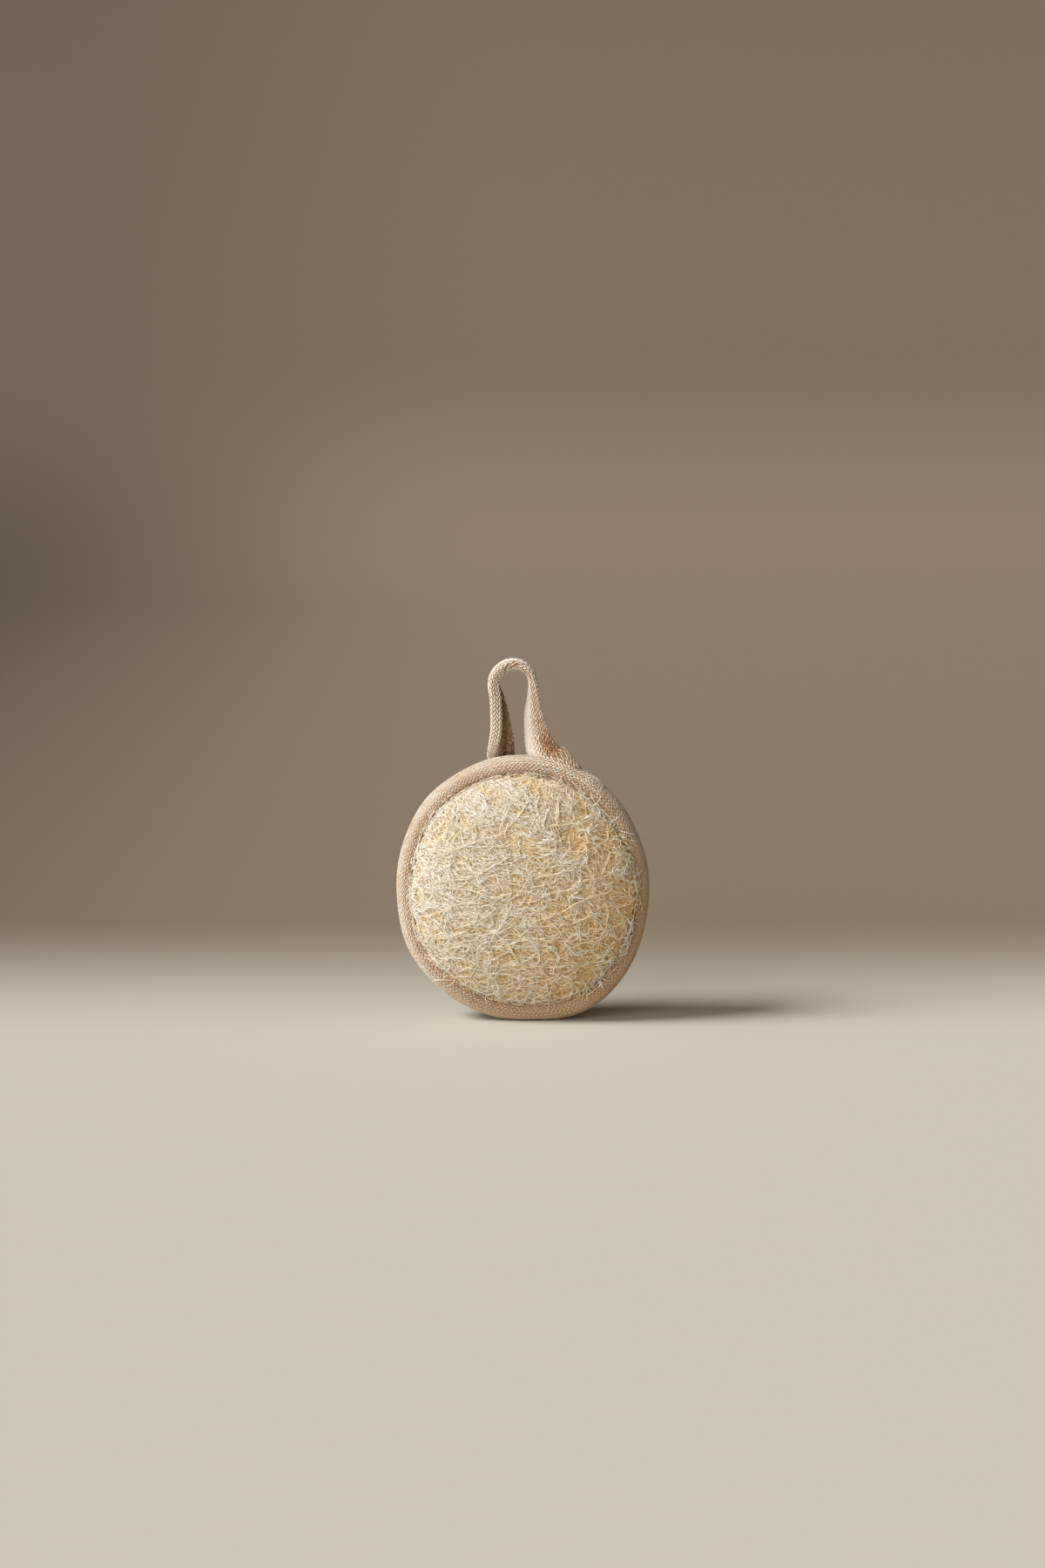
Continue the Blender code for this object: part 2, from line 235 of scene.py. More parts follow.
@dataclass(frozen=True)
class FibreFinish:
    """Dried plant fibre: near white where it lies outermost, golden where it lies deep."""

    name: str
    stops: tuple[tuple[float, Colour], ...] = (
        (0.0, (0.70, 0.42, 0.16)),
        (0.35, (0.94, 0.71, 0.40)),
        (0.70, (0.97, 0.84, 0.59)),
        (1.0, (1.0, 0.965, 0.885)),
    )
    roughness: float = 0.38
    sheen: float = 0.2
    fleck_scale: float = 900.0
    fleck_tone: float = 0.35
    patch_scale: float = 70.0
    patch_tone: float = 0.14
    grain_scale: float = 3200.0
    grain_depth: float = 0.00008

    def material(self) -> bpy.types.Material:
        """Makes the material."""
        graph = Graph(self.name)
        fleck = graph.noise(self.fleck_scale, 4.0, 0.6)
        patch = graph.noise(self.patch_scale, 2.0)
        golden = ((patch - 0.5) * 3.0).clamped() * self.patch_tone
        tone = (graph.tone() + (fleck - 0.5) * self.fleck_tone - golden).clamped()
        colour = graph.node("ShaderNodeValToRGB", {"stops": self.stops}, {0: tone})
        graph.feed("Base Color", graph.scaled(colour, fleck * 0.24 + 0.88))
        graph.feed("Roughness", fleck * 0.25 + (self.roughness - 0.12))
        graph.feed("Sheen Weight", self.sheen)
        graph.bumped(graph.noise(self.grain_scale, 3.0, 0.6), self.grain_depth, 0.6)
        return graph.material


@dataclass(frozen=True)
class YarnFinish:
    """Spun cotton, with painted shade where the yarn dips into the weave and painted shade towards
    the lower right.
    """

    name: str
    # Painted shade: the darkest colour, for the gaps between floats and the floats' sides.
    valley_shade: Colour = (0.22, 0.10, 0.042)
    flank: Colour = (0.57, 0.41, 0.27)
    flank_at: float = 0.45
    crest: Colour = (0.655, 0.635, 0.58)
    # Painted shade: the crest turns warmer and browner towards the lower right, away from the
    # light, broken up by noise.
    shaded_tan: Colour = (0.60, 0.41, 0.245)
    shaded_tan_way: tuple[float, float, float] = (16.0, -18.0, 0.98)
    roughness: float = 0.85
    sheen: float = 0.25
    fuzz_scale: float = 2600.0
    fuzz_tone: float = 0.45
    fuzz_depth: float = 0.00012
    patch_scale: float = 55.0
    patch_tone: float = 0.4
    patch_shaded_tan: float = 0.6

    def material(self) -> bpy.types.Material:
        """Makes the material."""
        graph = Graph(self.name)
        fuzz = graph.noise(self.fuzz_scale, 4.0, 0.65)
        patch = graph.noise(self.patch_scale, 3.0) - 0.5
        tone = (graph.tone() + (fuzz - 0.5) * self.fuzz_tone + patch * self.patch_tone).clamped()
        place = graph.place()
        x, z = (graph.node("ShaderNodeSeparateXYZ", None, {0: place}, way) for way in "XZ")
        # Painted shade towards the lower right, broken up by noise.
        across, upward, start = self.shaded_tan_way
        shaded_tanned = (x * across + z * upward + start + patch * self.patch_shaded_tan).clamped()
        crest = graph.mixed(shaded_tanned, self.crest, self.shaded_tan)
        # Low tones run into painted shade, for the gaps and the floats' sides.
        low = graph.mixed((tone / self.flank_at).clamped(), self.valley_shade, self.flank)
        high = ((tone - self.flank_at) / (1 - self.flank_at)).clamped()
        base = graph.mixed(high, low, crest)
        graph.feed("Base Color", graph.scaled(base, fuzz * 0.24 + 0.88))
        graph.feed("Roughness", (fuzz * 0.2 + (self.roughness - 0.1)).clamped())
        graph.feed("Sheen Weight", self.sheen)
        graph.feed("Sheen Roughness", 0.5)
        graph.bumped(fuzz, self.fuzz_depth, 0.8)
        return graph.material


@dataclass(frozen=True)
class StageFinish:
    """Matt paper that runs from a pale floor into a wall darkened by painted shade, with a painted
    shadow on the wall's left and painted shade that grows up the wall.
    """

    name: str
    floor: Colour = (0.551, 0.546, 0.490)
    # Painted shade: the paper's colour where the light falls off beyond the floor.
    wall: Colour = (0.225, 0.180, 0.136)
    # Where the lit floor gives way to the painted shade, along Y.
    turn: tuple[float, float] = (-0.055, 0.24)
    # A painted shadow on the wall's left, weaker higher up.
    shadow_side: tuple[float, float] = (-0.02, -0.66)
    shadow_share: float = 0.62
    shadow_fall: float = 0.41
    # Painted shade that darkens the wall as it rises.
    rise: tuple[float, float] = (0.0, 0.26)
    rise_shade: float = -0.31

    def _eased(self, graph: Graph, value: Value, ends: tuple[float, float]) -> Value:
        """A smooth step from 0 to 1 between two ends."""
        settings = {"interpolation_type": "SMOOTHSTEP"}
        inputs = {0: value, 1: ends[0], 2: ends[1], 3: 0.0, 4: 1.0}
        return graph.node("ShaderNodeMapRange", settings, inputs)

    def material(self) -> bpy.types.Material:
        """Makes the material."""
        graph = Graph(self.name)
        parts = graph.place()
        x, y, z = (graph.node("ShaderNodeSeparateXYZ", None, {0: parts}, way) for way in "XYZ")
        # Painted shade beyond the floor, a painted shadow at the left and painted shade up the
        # wall.
        beyond = self._eased(graph, y, self.turn)
        risen = self._eased(graph, z, self.rise)
        share = self.shadow_share - risen * self.shadow_fall
        shadow_dim = 1.0 - self._eased(graph, -x, (-self.shadow_side[0], -self.shadow_side[1])) * share
        lift = risen * self.rise_shade + 1.0
        wall = graph.scaled(self.wall, shadow_dim * lift)
        colour = graph.mixed(beyond, self.floor, wall)
        grain = graph.noise(400.0, 3.0)
        graph.feed("Base Color", graph.scaled(colour, grain * 0.03 + 0.985))
        graph.feed("Roughness", 0.9)
        graph.feed("Specular IOR Level", 0.15)
        graph.bumped(grain, 0.00002, 0.2)
        return graph.material


# ---------------------------------------------------------------- the sponge's form


def turn_between(a: Array | float, b: Array | float) -> Array:
    """The smallest turn from one angle to another."""
    return (np.asarray(b) - a + math.pi) % FULL_TURN - math.pi


@dataclass(frozen=True)
class RimShape:
    """The tape's roll over the rim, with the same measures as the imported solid."""

    half_width: float = 0.0500
    half_height: float = 0.0529
    centre_height: float = 0.0524
    half_thickness: float = 0.0090
    depth: float = 0.0059
    depth_sway: float = 0.0008
    deepest_at: float = math.radians(290)
    edge_roll: float = math.radians(118)
    seam_at: float = math.radians(103)
    seam_dent: float = 0.00035
    seam_spread: float = math.radians(6)
    bulges: tuple[tuple[float, float, float], ...] = (
        (305, 0.0032, 33),
        (243, 0.0003, 16),
        (210, 0.0009, 16),
        (137, 0.0006, 16),
        (48, 0.0004, 14),
    )

    def outline(self, angle: Array) -> Array:
        """How far the tape's outer side lies from the middle of the face."""
        wide, high = np.cos(angle) / self.half_width, np.sin(angle) / self.half_height
        radius = 1 / np.hypot(wide, high)
        for degrees, height, spread in self.bulges:
            off = turn_between(math.radians(degrees), angle) / math.radians(spread)
            radius = radius + height * np.exp(-(off**2))
        return radius

    def roll_depth(self, angle: Array) -> Array:
        """How far the roll reaches inwards to its thickest place."""
        return self.depth + self.depth_sway * np.cos(angle - self.deepest_at)

    def dent(self, roll: Array) -> Array:
        """How far the seam pulls the tape in."""
        off = (np.abs(roll) - self.seam_at) / self.seam_spread
        return self.seam_dent * np.exp(-(off**2))

    def from_face(self, angle: Array, radius: Array, across: Array) -> Array:
        """Points given by direction and distance from the face's middle, and place along Y."""
        x = radius * np.cos(angle)
        z = self.centre_height + radius * np.sin(angle)
        return np.stack(np.broadcast_arrays(x, across, z), axis=-1)

    def point(self, angle: Array, roll: Array, outset: Array | float = 0.0) -> Array:
        """Points on the tape's outer side or outset from it.

        Args:
            angle: Direction of the face, in radians.
            roll: Place round the roll, 0 at the rim and positive towards the back.
            outset: Distance outwards from the tape's outer side.

        Returns:
            The points, one in each row.
        """
        depth = self.roll_depth(angle)
        nx, ny = -np.cos(roll) / depth, np.sin(roll) / self.half_thickness
        length = np.hypot(nx, ny)
        inward = depth * (1 - np.cos(roll)) + outset * nx / length
        across = self.half_thickness * np.sin(roll) + outset * ny / length
        found = self.from_face(angle, self.outline(angle) - inward, across)
        found[..., 2] = np.maximum(found[..., 2], np.maximum(0.0, -1.4 * outset) + 0.0001)
        return found

    def tape_height(self, angle: Array, inset: Array) -> Array:
        """How far from the middle plane the tape's outer side lies, at an inset from its rim."""
        cosine = np.clip(1 - inset / self.roll_depth(angle), -0.47, 1.0)
        return self.half_thickness * np.sqrt(1 - cosine**2)

    def tape_edge(self, angle: Array) -> Array:
        """How far in from the outline the tape ends on each face."""
        return self.roll_depth(angle) * (1 - math.cos(self.edge_roll))


@dataclass(frozen=True)
class DomeShape:
    """The loofah's domed face, which spreads a little over the tape's inner edge."""

    rim: RimShape
    half_thickness: float = 0.0188
    squareness: float = 2.4
    fullness: float = 0.62
    over_tape: float = 0.0004
    # Width of tape that shows inside the outline, by direction in degrees
    shown_tape: tuple[tuple[float, float], ...] = (
        (0, 0.0043),
        (50, 0.0086),
        (90, 0.0074),
        (135, 0.0066),
        (180, 0.0063),
        (225, 0.0076),
        (270, 0.0096),
        (315, 0.0080),
    )

    def foot_inset(self, angle: Array) -> Array:
        """How far in from the outline the fibres' dome begins."""
        at = [math.radians(a) for a, _ in self.shown_tape]
        wide = [w for _, w in self.shown_tape]
        return np.interp(np.asarray(angle) % FULL_TURN, at + [FULL_TURN], wide + wide[:1])

    def foot(self, angle: Array) -> tuple[Array, Array]:
        """Distance from the middle, and from the middle plane, of the dome's foot."""
        inset = self.foot_inset(angle)
        height = self.rim.tape_height(angle, inset) + self.over_tape
        return self.rim.outline(angle) - inset, height

    def height(self, angle: Array, radius: Array) -> Array:
        """How far from the middle plane the dome lies at a place on the face."""
        foot_radius, foot_height = self.foot(angle)
        share = np.clip(radius / foot_radius, 0.0, 1.0)
        full = np.maximum(0.0, 1 - share**self.squareness) ** self.fullness
        return foot_height + (self.half_thickness - foot_height) * full


# ---------------------------------------------------------------- meshes


def deselect_all() -> None:
    """Leaves nothing selected, in object mode."""
    if bpy.context.mode != "OBJECT":
        bpy.ops.object.mode_set(mode="OBJECT")
    bpy.ops.object.select_all(action="DESELECT")


def taken(name: str) -> bpy.types.Object:
    """The active object, given a name and a mesh of the same name."""
    obj = bpy.context.object
    obj.name = name
    obj.data.name = name
    return obj


def points_of(obj: bpy.types.Object) -> Array:
    """The mesh's vertices, one in each row."""
    flat = np.zeros(len(obj.data.vertices) * 3)
    obj.data.vertices.foreach_get("co", flat)
    return flat.reshape(-1, 3)


def move_points(obj: bpy.types.Object, points: Array) -> None:
    """Puts the mesh's vertices at new places."""
    obj.data.vertices.foreach_set("co", np.asarray(points, np.float32).ravel())
    obj.data.update()


def in_edit_mode(obj: bpy.types.Object, *steps: Callable[[], Any]) -> None:
    """Runs edit-mode operators on the whole of one mesh.

    Args:
        obj: The object to edit.
        steps: Calls without arguments, run in order with everything selected.
    """
    deselect_all()
    bpy.context.view_layer.objects.active = obj
    obj.select_set(True)
    bpy.ops.object.mode_set(mode="EDIT")
    bpy.ops.mesh.select_all(action="SELECT")
    for step in steps:
        step()
    bpy.ops.object.mode_set(mode="OBJECT")


def applied(obj: bpy.types.Object, kind: str, **settings: Any) -> None:
    """Adds a modifier to an object and applies it."""
    deselect_all()
    bpy.context.view_layer.objects.active = obj
    obj.select_set(True)
    modifier = obj.modifiers.new(kind.lower(), kind)
    for name, value in settings.items():
        setattr(modifier, name, value)
    bpy.ops.object.modifier_apply(modifier=modifier.name)


def store_tone(obj: bpy.types.Object, tones: Array) -> None:
    """Stores a number on each of the mesh's points, for its material."""
    layer = obj.data.attributes.new(TONE, "FLOAT", "POINT")
    layer.data.foreach_set("value", np.asarray(tones, np.float32).ravel())


def triangles_in(obj: bpy.types.Object) -> int:
    """How many triangles a mesh has."""
    return sum(len(polygon.vertices) - 2 for polygon in obj.data.polygons)


def dress(
    obj: bpy.types.Object,
    material: bpy.types.Material,
    replaced: tuple[str, ...] = (),
) -> bpy.types.Object:
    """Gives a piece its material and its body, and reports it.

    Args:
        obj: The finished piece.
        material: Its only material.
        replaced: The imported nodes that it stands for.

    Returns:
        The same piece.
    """
    obj.data.materials.clear()
    obj.data.materials.append(material)
    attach(obj, BODY)
    if replaced:
        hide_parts(*replaced)
    LOG.info("%s: %d triangles, %s", obj.name, triangles_in(obj), material.name)
    return obj


@dataclass
class Template:
    """A small closed shape that is modelled once and copied many times."""

    points: Array
    faces: Array
    corners: Array

    @classmethod
    def from_object(cls, obj: bpy.types.Object) -> "Template":
        """Takes a shape that runs along Z, and removes its object.

        Args:
            obj: The modelled shape, from z = 0 to z = 1.

        Returns:
            The template, whose corners hold a place along the shape and round it.
        """
        obj.data.calc_loop_triangles()
        points = points_of(obj)
        faces = np.array([tuple(t.vertices) for t in obj.data.loop_triangles])
        polygons = [t.polygon_index for t in obj.data.loop_triangles]
        middles = np.array([tuple(obj.data.polygons[i].center) for i in polygons])
        facing = np.arctan2(middles[:, 1], middles[:, 0])
        at = points[faces]
        around = np.arctan2(at[..., 1], at[..., 0])
        off = turn_between(facing[:, None], around)
        off = np.where(np.hypot(at[..., 0], at[..., 1]) < 1e-6, 0.0, off)
        corners = np.stack([at[..., 2], (facing[:, None] + off) / FULL_TURN + 0.5], -1)
        bpy.data.objects.remove(obj, do_unlink=True)
        return cls(points, faces, corners)

    def copies(self, name: str, places: Array, tones: Array) -> bpy.types.Object:
        """One mesh that holds a copy of the shape for each row of places.

        Args:
            name: The new object's name.
            places: The copies' vertices, of shape (copies, vertices, 3).
            tones: A number for each copy's vertices, of shape (copies, vertices).

        Returns:
            The new object, with a map that gives each copy a field of its own.
        """
        count, size = places.shape[:2]
        faces, corners = self.faces, self.corners
        a, b, c = (places[0, faces[:, i]] - places[0].mean(0) for i in range(3))
        if np.einsum("ij,ij->", a, np.cross(b, c)) < 0:
            faces, corners = faces[:, ::-1], corners[:, ::-1]
        shifted = faces[None] + size * np.arange(count)[:, None, None]
        mesh = bpy.data.meshes.new(name)
        mesh.from_pydata(
            places.reshape(-1, 3).astype(np.float32),
            [],
            shifted.reshape(-1, 3).astype(np.int32),
            shade_flat=False,
        )
        columns = math.ceil(math.sqrt(count))
        column, row = np.arange(count) % columns, np.arange(count) // columns
        field_at = np.stack([column, row], -1)[:, None, None, :]
        spread = (field_at + 0.08 + 0.84 * corners[None]) / columns
        layer = mesh.uv_layers.new(name=BAKE_MAP)
        layer.uv.foreach_set("vector", spread.astype(np.float32).ravel())
        obj = bpy.data.objects.new(name, mesh)
        bpy.context.scene.collection.objects.link(obj)
        store_tone(obj, tones)
        return obj


def strand_template(rings: int, sides: int = 3) -> Template:
    """A thin closed tube with pointed ends, for fibres.

    Args:
        rings: How many rings lie between its two tips.
        sides: How many sides it has.

    Returns:
        The template.
    """
    deselect_all()
    step = 1 / (rings + 1)
    bpy.ops.mesh.primitive_circle_add(vertices=sides, radius=1, location=(0, 0, step))
    strand = taken("strand")
    bpy.ops.object.transform_apply(location=True)

    def raise_ring(height: float) -> None:
        """Extrudes the selected ring along the strand."""
        bpy.ops.mesh.extrude_region_move(TRANSFORM_OT_translate={"value": (0, 0, height)})

    def model() -> None:
        """Extrudes the tube and closes both ends to a point."""
        for _ in range(rings - 1):
            raise_ring(step)
        raise_ring(step)
        bpy.ops.mesh.merge(type="CENTER")
        bpy.ops.mesh.select_all(action="DESELECT")
        bpy.ops.object.mode_set(mode="OBJECT")
        for vertex in strand.data.vertices:
            vertex.select = abs(vertex.co.z - step) < step / 4
        bpy.ops.object.mode_set(mode="EDIT")
        raise_ring(-step)
        bpy.ops.mesh.merge(type="CENTER")
        bpy.ops.mesh.select_all(action="SELECT")
        bpy.ops.mesh.normals_make_consistent(inside=False)

    in_edit_mode(strand, model)
    return Template.from_object(strand)


def spindle_template(segments: int = 5, rings: int = 4) -> Template:
    """A small closed spindle from z = 0 to z = 1, for a float of yarn or a stitch."""
    deselect_all()
    bpy.ops.mesh.primitive_uv_sphere_add(segments=segments, ring_count=rings, radius=1)
    spindle = taken("spindle")
    points = points_of(spindle)
    points[:, 2] = 0.5 + 0.5 * np.sign(points[:, 2]) * np.abs(points[:, 2]) ** 0.8
    move_points(spindle, points)
    return Template.from_object(spindle)


def tubes(template: Template, routes: Array, radii: Array, outward: Array) -> Array:
    """Places of a strand template's vertices along many routes.

    Args:
        template: The strand, whose rings match the routes' points.
        routes: The routes, of shape (strands, points, 3).
        radii: The strands' radius at each point, of shape (strands, points).
        outward: A direction that the strands don't follow, of shape (3,).

    Returns:
        The vertices' places, of shape (strands, vertices, 3).
    """
    index = np.rint(template.points[:, 2] * (routes.shape[1] - 1)).astype(int)
    tangent = np.gradient(routes, axis=1)
    tangent /= np.linalg.norm(tangent, axis=2, keepdims=True) + 1e-12
    side = np.cross(outward, tangent)
    side /= np.linalg.norm(side, axis=2, keepdims=True) + 1e-9
    up = np.cross(tangent, side)
    x, y = template.points[:, 0, None], template.points[:, 1, None]
    ring = x * side[:, index] + y * up[:, index]
    return routes[:, index] + radii[:, index, None] * ring


# ---------------------------------------------------------------- the loofah


@dataclass(frozen=True)
class FibreLayer:
    """One layer of the loofah's net.

    Attributes:
        name: What the layer is called.
        fibres: How many fibres it has on each face.
        rings: How many rings each strand has.
        step: The distance between its rings.
        radius: The thinnest and the thickest strand.
        lift: The lowest and the highest place over the dome.
        wave: How far a strand rises and sinks along its way.
        curl: How strongly it bends.
        stray: How far its first heading strays from the grain, in radians.
        hold: How strongly the grain holds it.
        push: How strongly it goes round the open cells.
        tone: Its deepest and its palest tone.
        golden: How much deeper its tone is on the net's golden side, partly as painted shade.
        bunch: How many strands run side by side.
        past_foot: How far past the dome's foot it may reach, as a share of the way out.
        seed: Its own seed.
    """

    name: str
    fibres: int
    rings: int
    step: float
    radius: tuple[float, float]
    lift: tuple[float, float]
    wave: float
    curl: float
    stray: float
    hold: float
    push: float
    tone: tuple[float, float]
    golden: float
    bunch: int
    past_foot: float
    seed: int


@dataclass(frozen=True)
class LooseEnd:
    """A fibre that has come loose: where it leaves the net and how it runs.

    Attributes:
        x: Place across the face, in millimetres.
        z: Height above the floor, in millimetres.
        heading: The way that it sets out, in degrees.
        length: Its length, in millimetres.
        bend: How far it turns, in degrees for each millimetre.
    """

    x: float
    z: float
    heading: float
    length: float
    bend: float = 0.0


@dataclass(frozen=True)
class LooseFibres:
    """The pale loose ends, small knots and frayed edge that stand out over the net."""

    ends: tuple[LooseEnd, ...] = (
        LooseEnd(-9.0, 96.5, 100, 6, 10),
        LooseEnd(1.0, 97.0, 55, 5, -12),
        LooseEnd(12.0, 97.5, -20, 9, -4),
        LooseEnd(19.0, 96.0, -38, 12, -3),
        LooseEnd(22.0, 94.0, -55, 10, -2),
        LooseEnd(26.6, 91.5, -70, 6, 2),
        LooseEnd(30.5, 90.5, -85, 6, -14),
        LooseEnd(38.0, 76.5, -28, 6.5, 2),
        LooseEnd(36.0, 74.2, -8, 5, 0),
        LooseEnd(42.0, 72.5, -20, 4, 3),
        LooseEnd(32.6, 61.3, -25, 5, 3),
        LooseEnd(36.5, 60.5, -50, 6, 2),
        LooseEnd(8.6, 86.7, -43, 9, 0),
        LooseEnd(24.3, 73.0, -72, 8, -4),
        LooseEnd(-35.9, 16.2, 24, 14, -4),
        LooseEnd(-37.0, 28.0, -50, 9, 3),
        LooseEnd(8.5, 17.5, -62, 14, -3),
        LooseEnd(4.0, 15.0, -60, 11, 4),
        LooseEnd(11.0, 14.0, -100, 9, 5),
        LooseEnd(-17.0, 41.0, 20, 9, 3),
        LooseEnd(-28.0, 62.0, -30, 11, -1),
        LooseEnd(-24.0, 70.0, -36, 12, 1),
    )
    knots: tuple[tuple[float, float], ...] = (
        (22.4, 57.7),
        (24.8, 65.8),
        (12.0, 22.7),
        (31.0, 15.4),
        (-13.8, 45.0),
        (-11.0, 37.0),
        (-3.1, 24.6),
        (3.0, 76.0),
    )
    knot_strands: int = 6
    knot_length: tuple[float, float] = (0.0025, 0.0055)
    knot_bend: float = 120.0
    frayed: int = 150
    frayed_from: tuple[float, float] = (0.92, 0.985)
    frayed_length: tuple[float, float] = (0.0022, 0.0062)
    frayed_stray: float = 0.8
    frayed_bend: float = 260.0
    radius: tuple[float, float] = (0.00012, 0.00017)
    lift: tuple[float, float] = (0.0003, 0.0010)
    points: int = 10
    tone: tuple[float, float] = (0.95, 1.2)
    seed: int = 24

    def _run(self, start: Array, heading: Array, length: Array, bend: Array) -> Array:
        """Routes that set out on a heading and turn evenly, of shape (fibres, points, 2)."""
        along = np.linspace(0, 1, self.points)[None] * length[:, None]
        turned = heading[:, None] + bend[:, None] * along
        way = np.stack([np.cos(turned), np.sin(turned)], -1)
        steps = way[:, 1:] * np.diff(along)[..., None]
        return np.concatenate([start[:, None], start[:, None] + np.cumsum(steps, axis=1)], 1)

    def routes(self, dome: DomeShape, face: Face, rng: np.random.Generator) -> Array:
        """The loose fibres' routes over one face.

        Args:
            dome: The face's dome.
            face: The face; the listed ends are the front's.
            rng: The seeded random numbers.

        Returns:
            The routes, of shape (fibres, points, 2).
        """
        middle = np.array([0.0, dome.rim.centre_height])
        parts = []
        if face is Face.FRONT:
            start = np.array([(e.x, e.z) for e in self.ends]) * MM - middle
            heading = np.radians([e.heading for e in self.ends])
            length = np.array([e.length for e in self.ends]) * MM
            bend = np.radians([e.bend for e in self.ends]) / MM
            parts.append(self._run(start, heading, length, bend))
        knots = np.repeat(np.array(self.knots) * MM, self.knot_strands, axis=0) - middle
        if face is Face.BACK:
            knots = knots[:, ::-1] * np.array([1.0, -1.0])
        count = len(knots)
        length = rng.uniform(*self.knot_length, count)
        heading = rng.uniform(0, FULL_TURN, count)
        back = np.stack([np.cos(heading), np.sin(heading)], -1) * (length / 2)[:, None]
        bend = rng.normal(0, self.knot_bend, count)
        parts.append(self._run(knots - back, heading, length, bend))
        angle = rng.uniform(0, FULL_TURN, self.frayed)
        foot, _ = dome.foot(angle)
        radius = foot * rng.uniform(*self.frayed_from, self.frayed)
        start = np.stack([radius * np.cos(angle), radius * np.sin(angle)], -1)
        heading = angle + rng.normal(0, self.frayed_stray, self.frayed)
        length = rng.uniform(*self.frayed_length, self.frayed)
        bend = rng.normal(0, self.frayed_bend, self.frayed)
        parts.append(self._run(start, heading, length, bend))
        return np.concatenate(parts)


@dataclass(frozen=True)
class RidgeBundles:
    """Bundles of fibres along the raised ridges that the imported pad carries."""

    a_face: int = 56
    strands: int = 3
    points: int = 18
    spread: float = 0.00035
    radius: tuple[float, float] = (0.00011, 0.00016)
    lift: tuple[float, float] = (0.0000, 0.0008)
    step: float = 0.0050
    steps: tuple[int, int] = (2, 3)
    grain: float = math.radians(-14)
    scatter: float = math.radians(38)
    wander: float = math.radians(17)
    middle_limit: float = 0.86
    limit: float = 0.955
    foot_inset: float = 0.0006
    tone: tuple[float, float] = (0.66, 1.0)
    # Deeper tone on the net's golden side, partly painted shade.
    golden: float = 0.25
    seed: int = 11

    def _ridge(self, rim: RimShape, rng: random.Random, number: int) -> Array:
        """One ridge's places on the face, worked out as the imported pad's are."""
        angle = number * math.pi * (3 - math.sqrt(5)) + rng.uniform(-0.2, 0.2)
        share = math.sqrt((number + 0.5) / self.a_face) * self.middle_limit
        start = np.array([rim.half_width * math.cos(angle), rim.half_height * math.sin(angle)])
        start *= share
        first = self.grain + rng.gauss(0, 1) * self.scatter
        halves = []
        for way in (0, math.pi):
            place, heading, half = start.copy(), first + way, []
            for _ in range(rng.randint(*self.steps)):
                heading += rng.gauss(0, 1) * self.wander
                place = place + self.step * np.array([math.cos(heading), math.sin(heading)])
                half.append(place)
            halves.append(half)
        places = np.array(halves[1][::-1] + [start] + halves[0])
        angles = np.arctan2(places[:, 1], places[:, 0])
        foot = rim.outline(angles) - rim.tape_edge(angles) - self.foot_inset
        return places[np.hypot(places[:, 0], places[:, 1]) < self.limit * foot]

    def _smooth(self, places: Array) -> Array:
        """A ridge's places resampled evenly and rounded at their corners."""
        steps = np.linalg.norm(np.diff(places, axis=0), axis=1)
        run = np.concatenate([[0], np.cumsum(steps)])
        at = np.linspace(0, run[-1], self.points)
        line = np.stack([np.interp(at, run, places[:, i]) for i in (0, 1)], -1)
        for _ in range(3):
            line[1:-1] = 0.25 * line[:-2] + 0.5 * line[1:-1] + 0.25 * line[2:]
        return line

    def routes(self, rim: RimShape, face: Face, rng: np.random.Generator) -> Array:
        """The bundles' strands on one face, of shape (strands, points, 2)."""
        ridges = random.Random(self.seed)
        found = []
        for side in Face:
            for number in range(self.a_face):
                places = self._ridge(rim, ridges, number)
                if side is not face or len(places) < 3:
                    continue
                line = self._smooth(places)
                tangent = np.gradient(line, axis=0)
                tangent /= np.linalg.norm(tangent, axis=1, keepdims=True)
                across = np.stack([-tangent[:, 1], tangent[:, 0]], -1)
                share = np.linspace(0, 1, self.points)
                for _ in range(self.strands):
                    turns, first = rng.uniform(0.6, 1.8), rng.uniform(0, FULL_TURN)
                    off = self.spread * np.sin(FULL_TURN * turns * share + first)
                    off = off + self.spread * 2.2 * rng.normal() * (2 * share - 1) ** 2
                    found.append(line + across * off[:, None])
        return np.array(found)


@dataclass(frozen=True)
class GoldenShadedSide:
    """The loofah's golden side, towards its lower right, where the net is open and which lies away
    from the light; its deeper tone there is partly the open net's own gold and partly painted
    shade.

    Attributes:
        way: The direction towards it, across and up.
        span: How far from the middle it is reached.
    """

    way: tuple[float, float] = (0.8, -0.6)
    span: float = 0.045

    def along(self, x: Array, z: Array) -> Array:
        """How far towards the golden side each place lies, from about -1 to 1."""
        return (x * self.way[0] + z * self.way[1]) / self.span


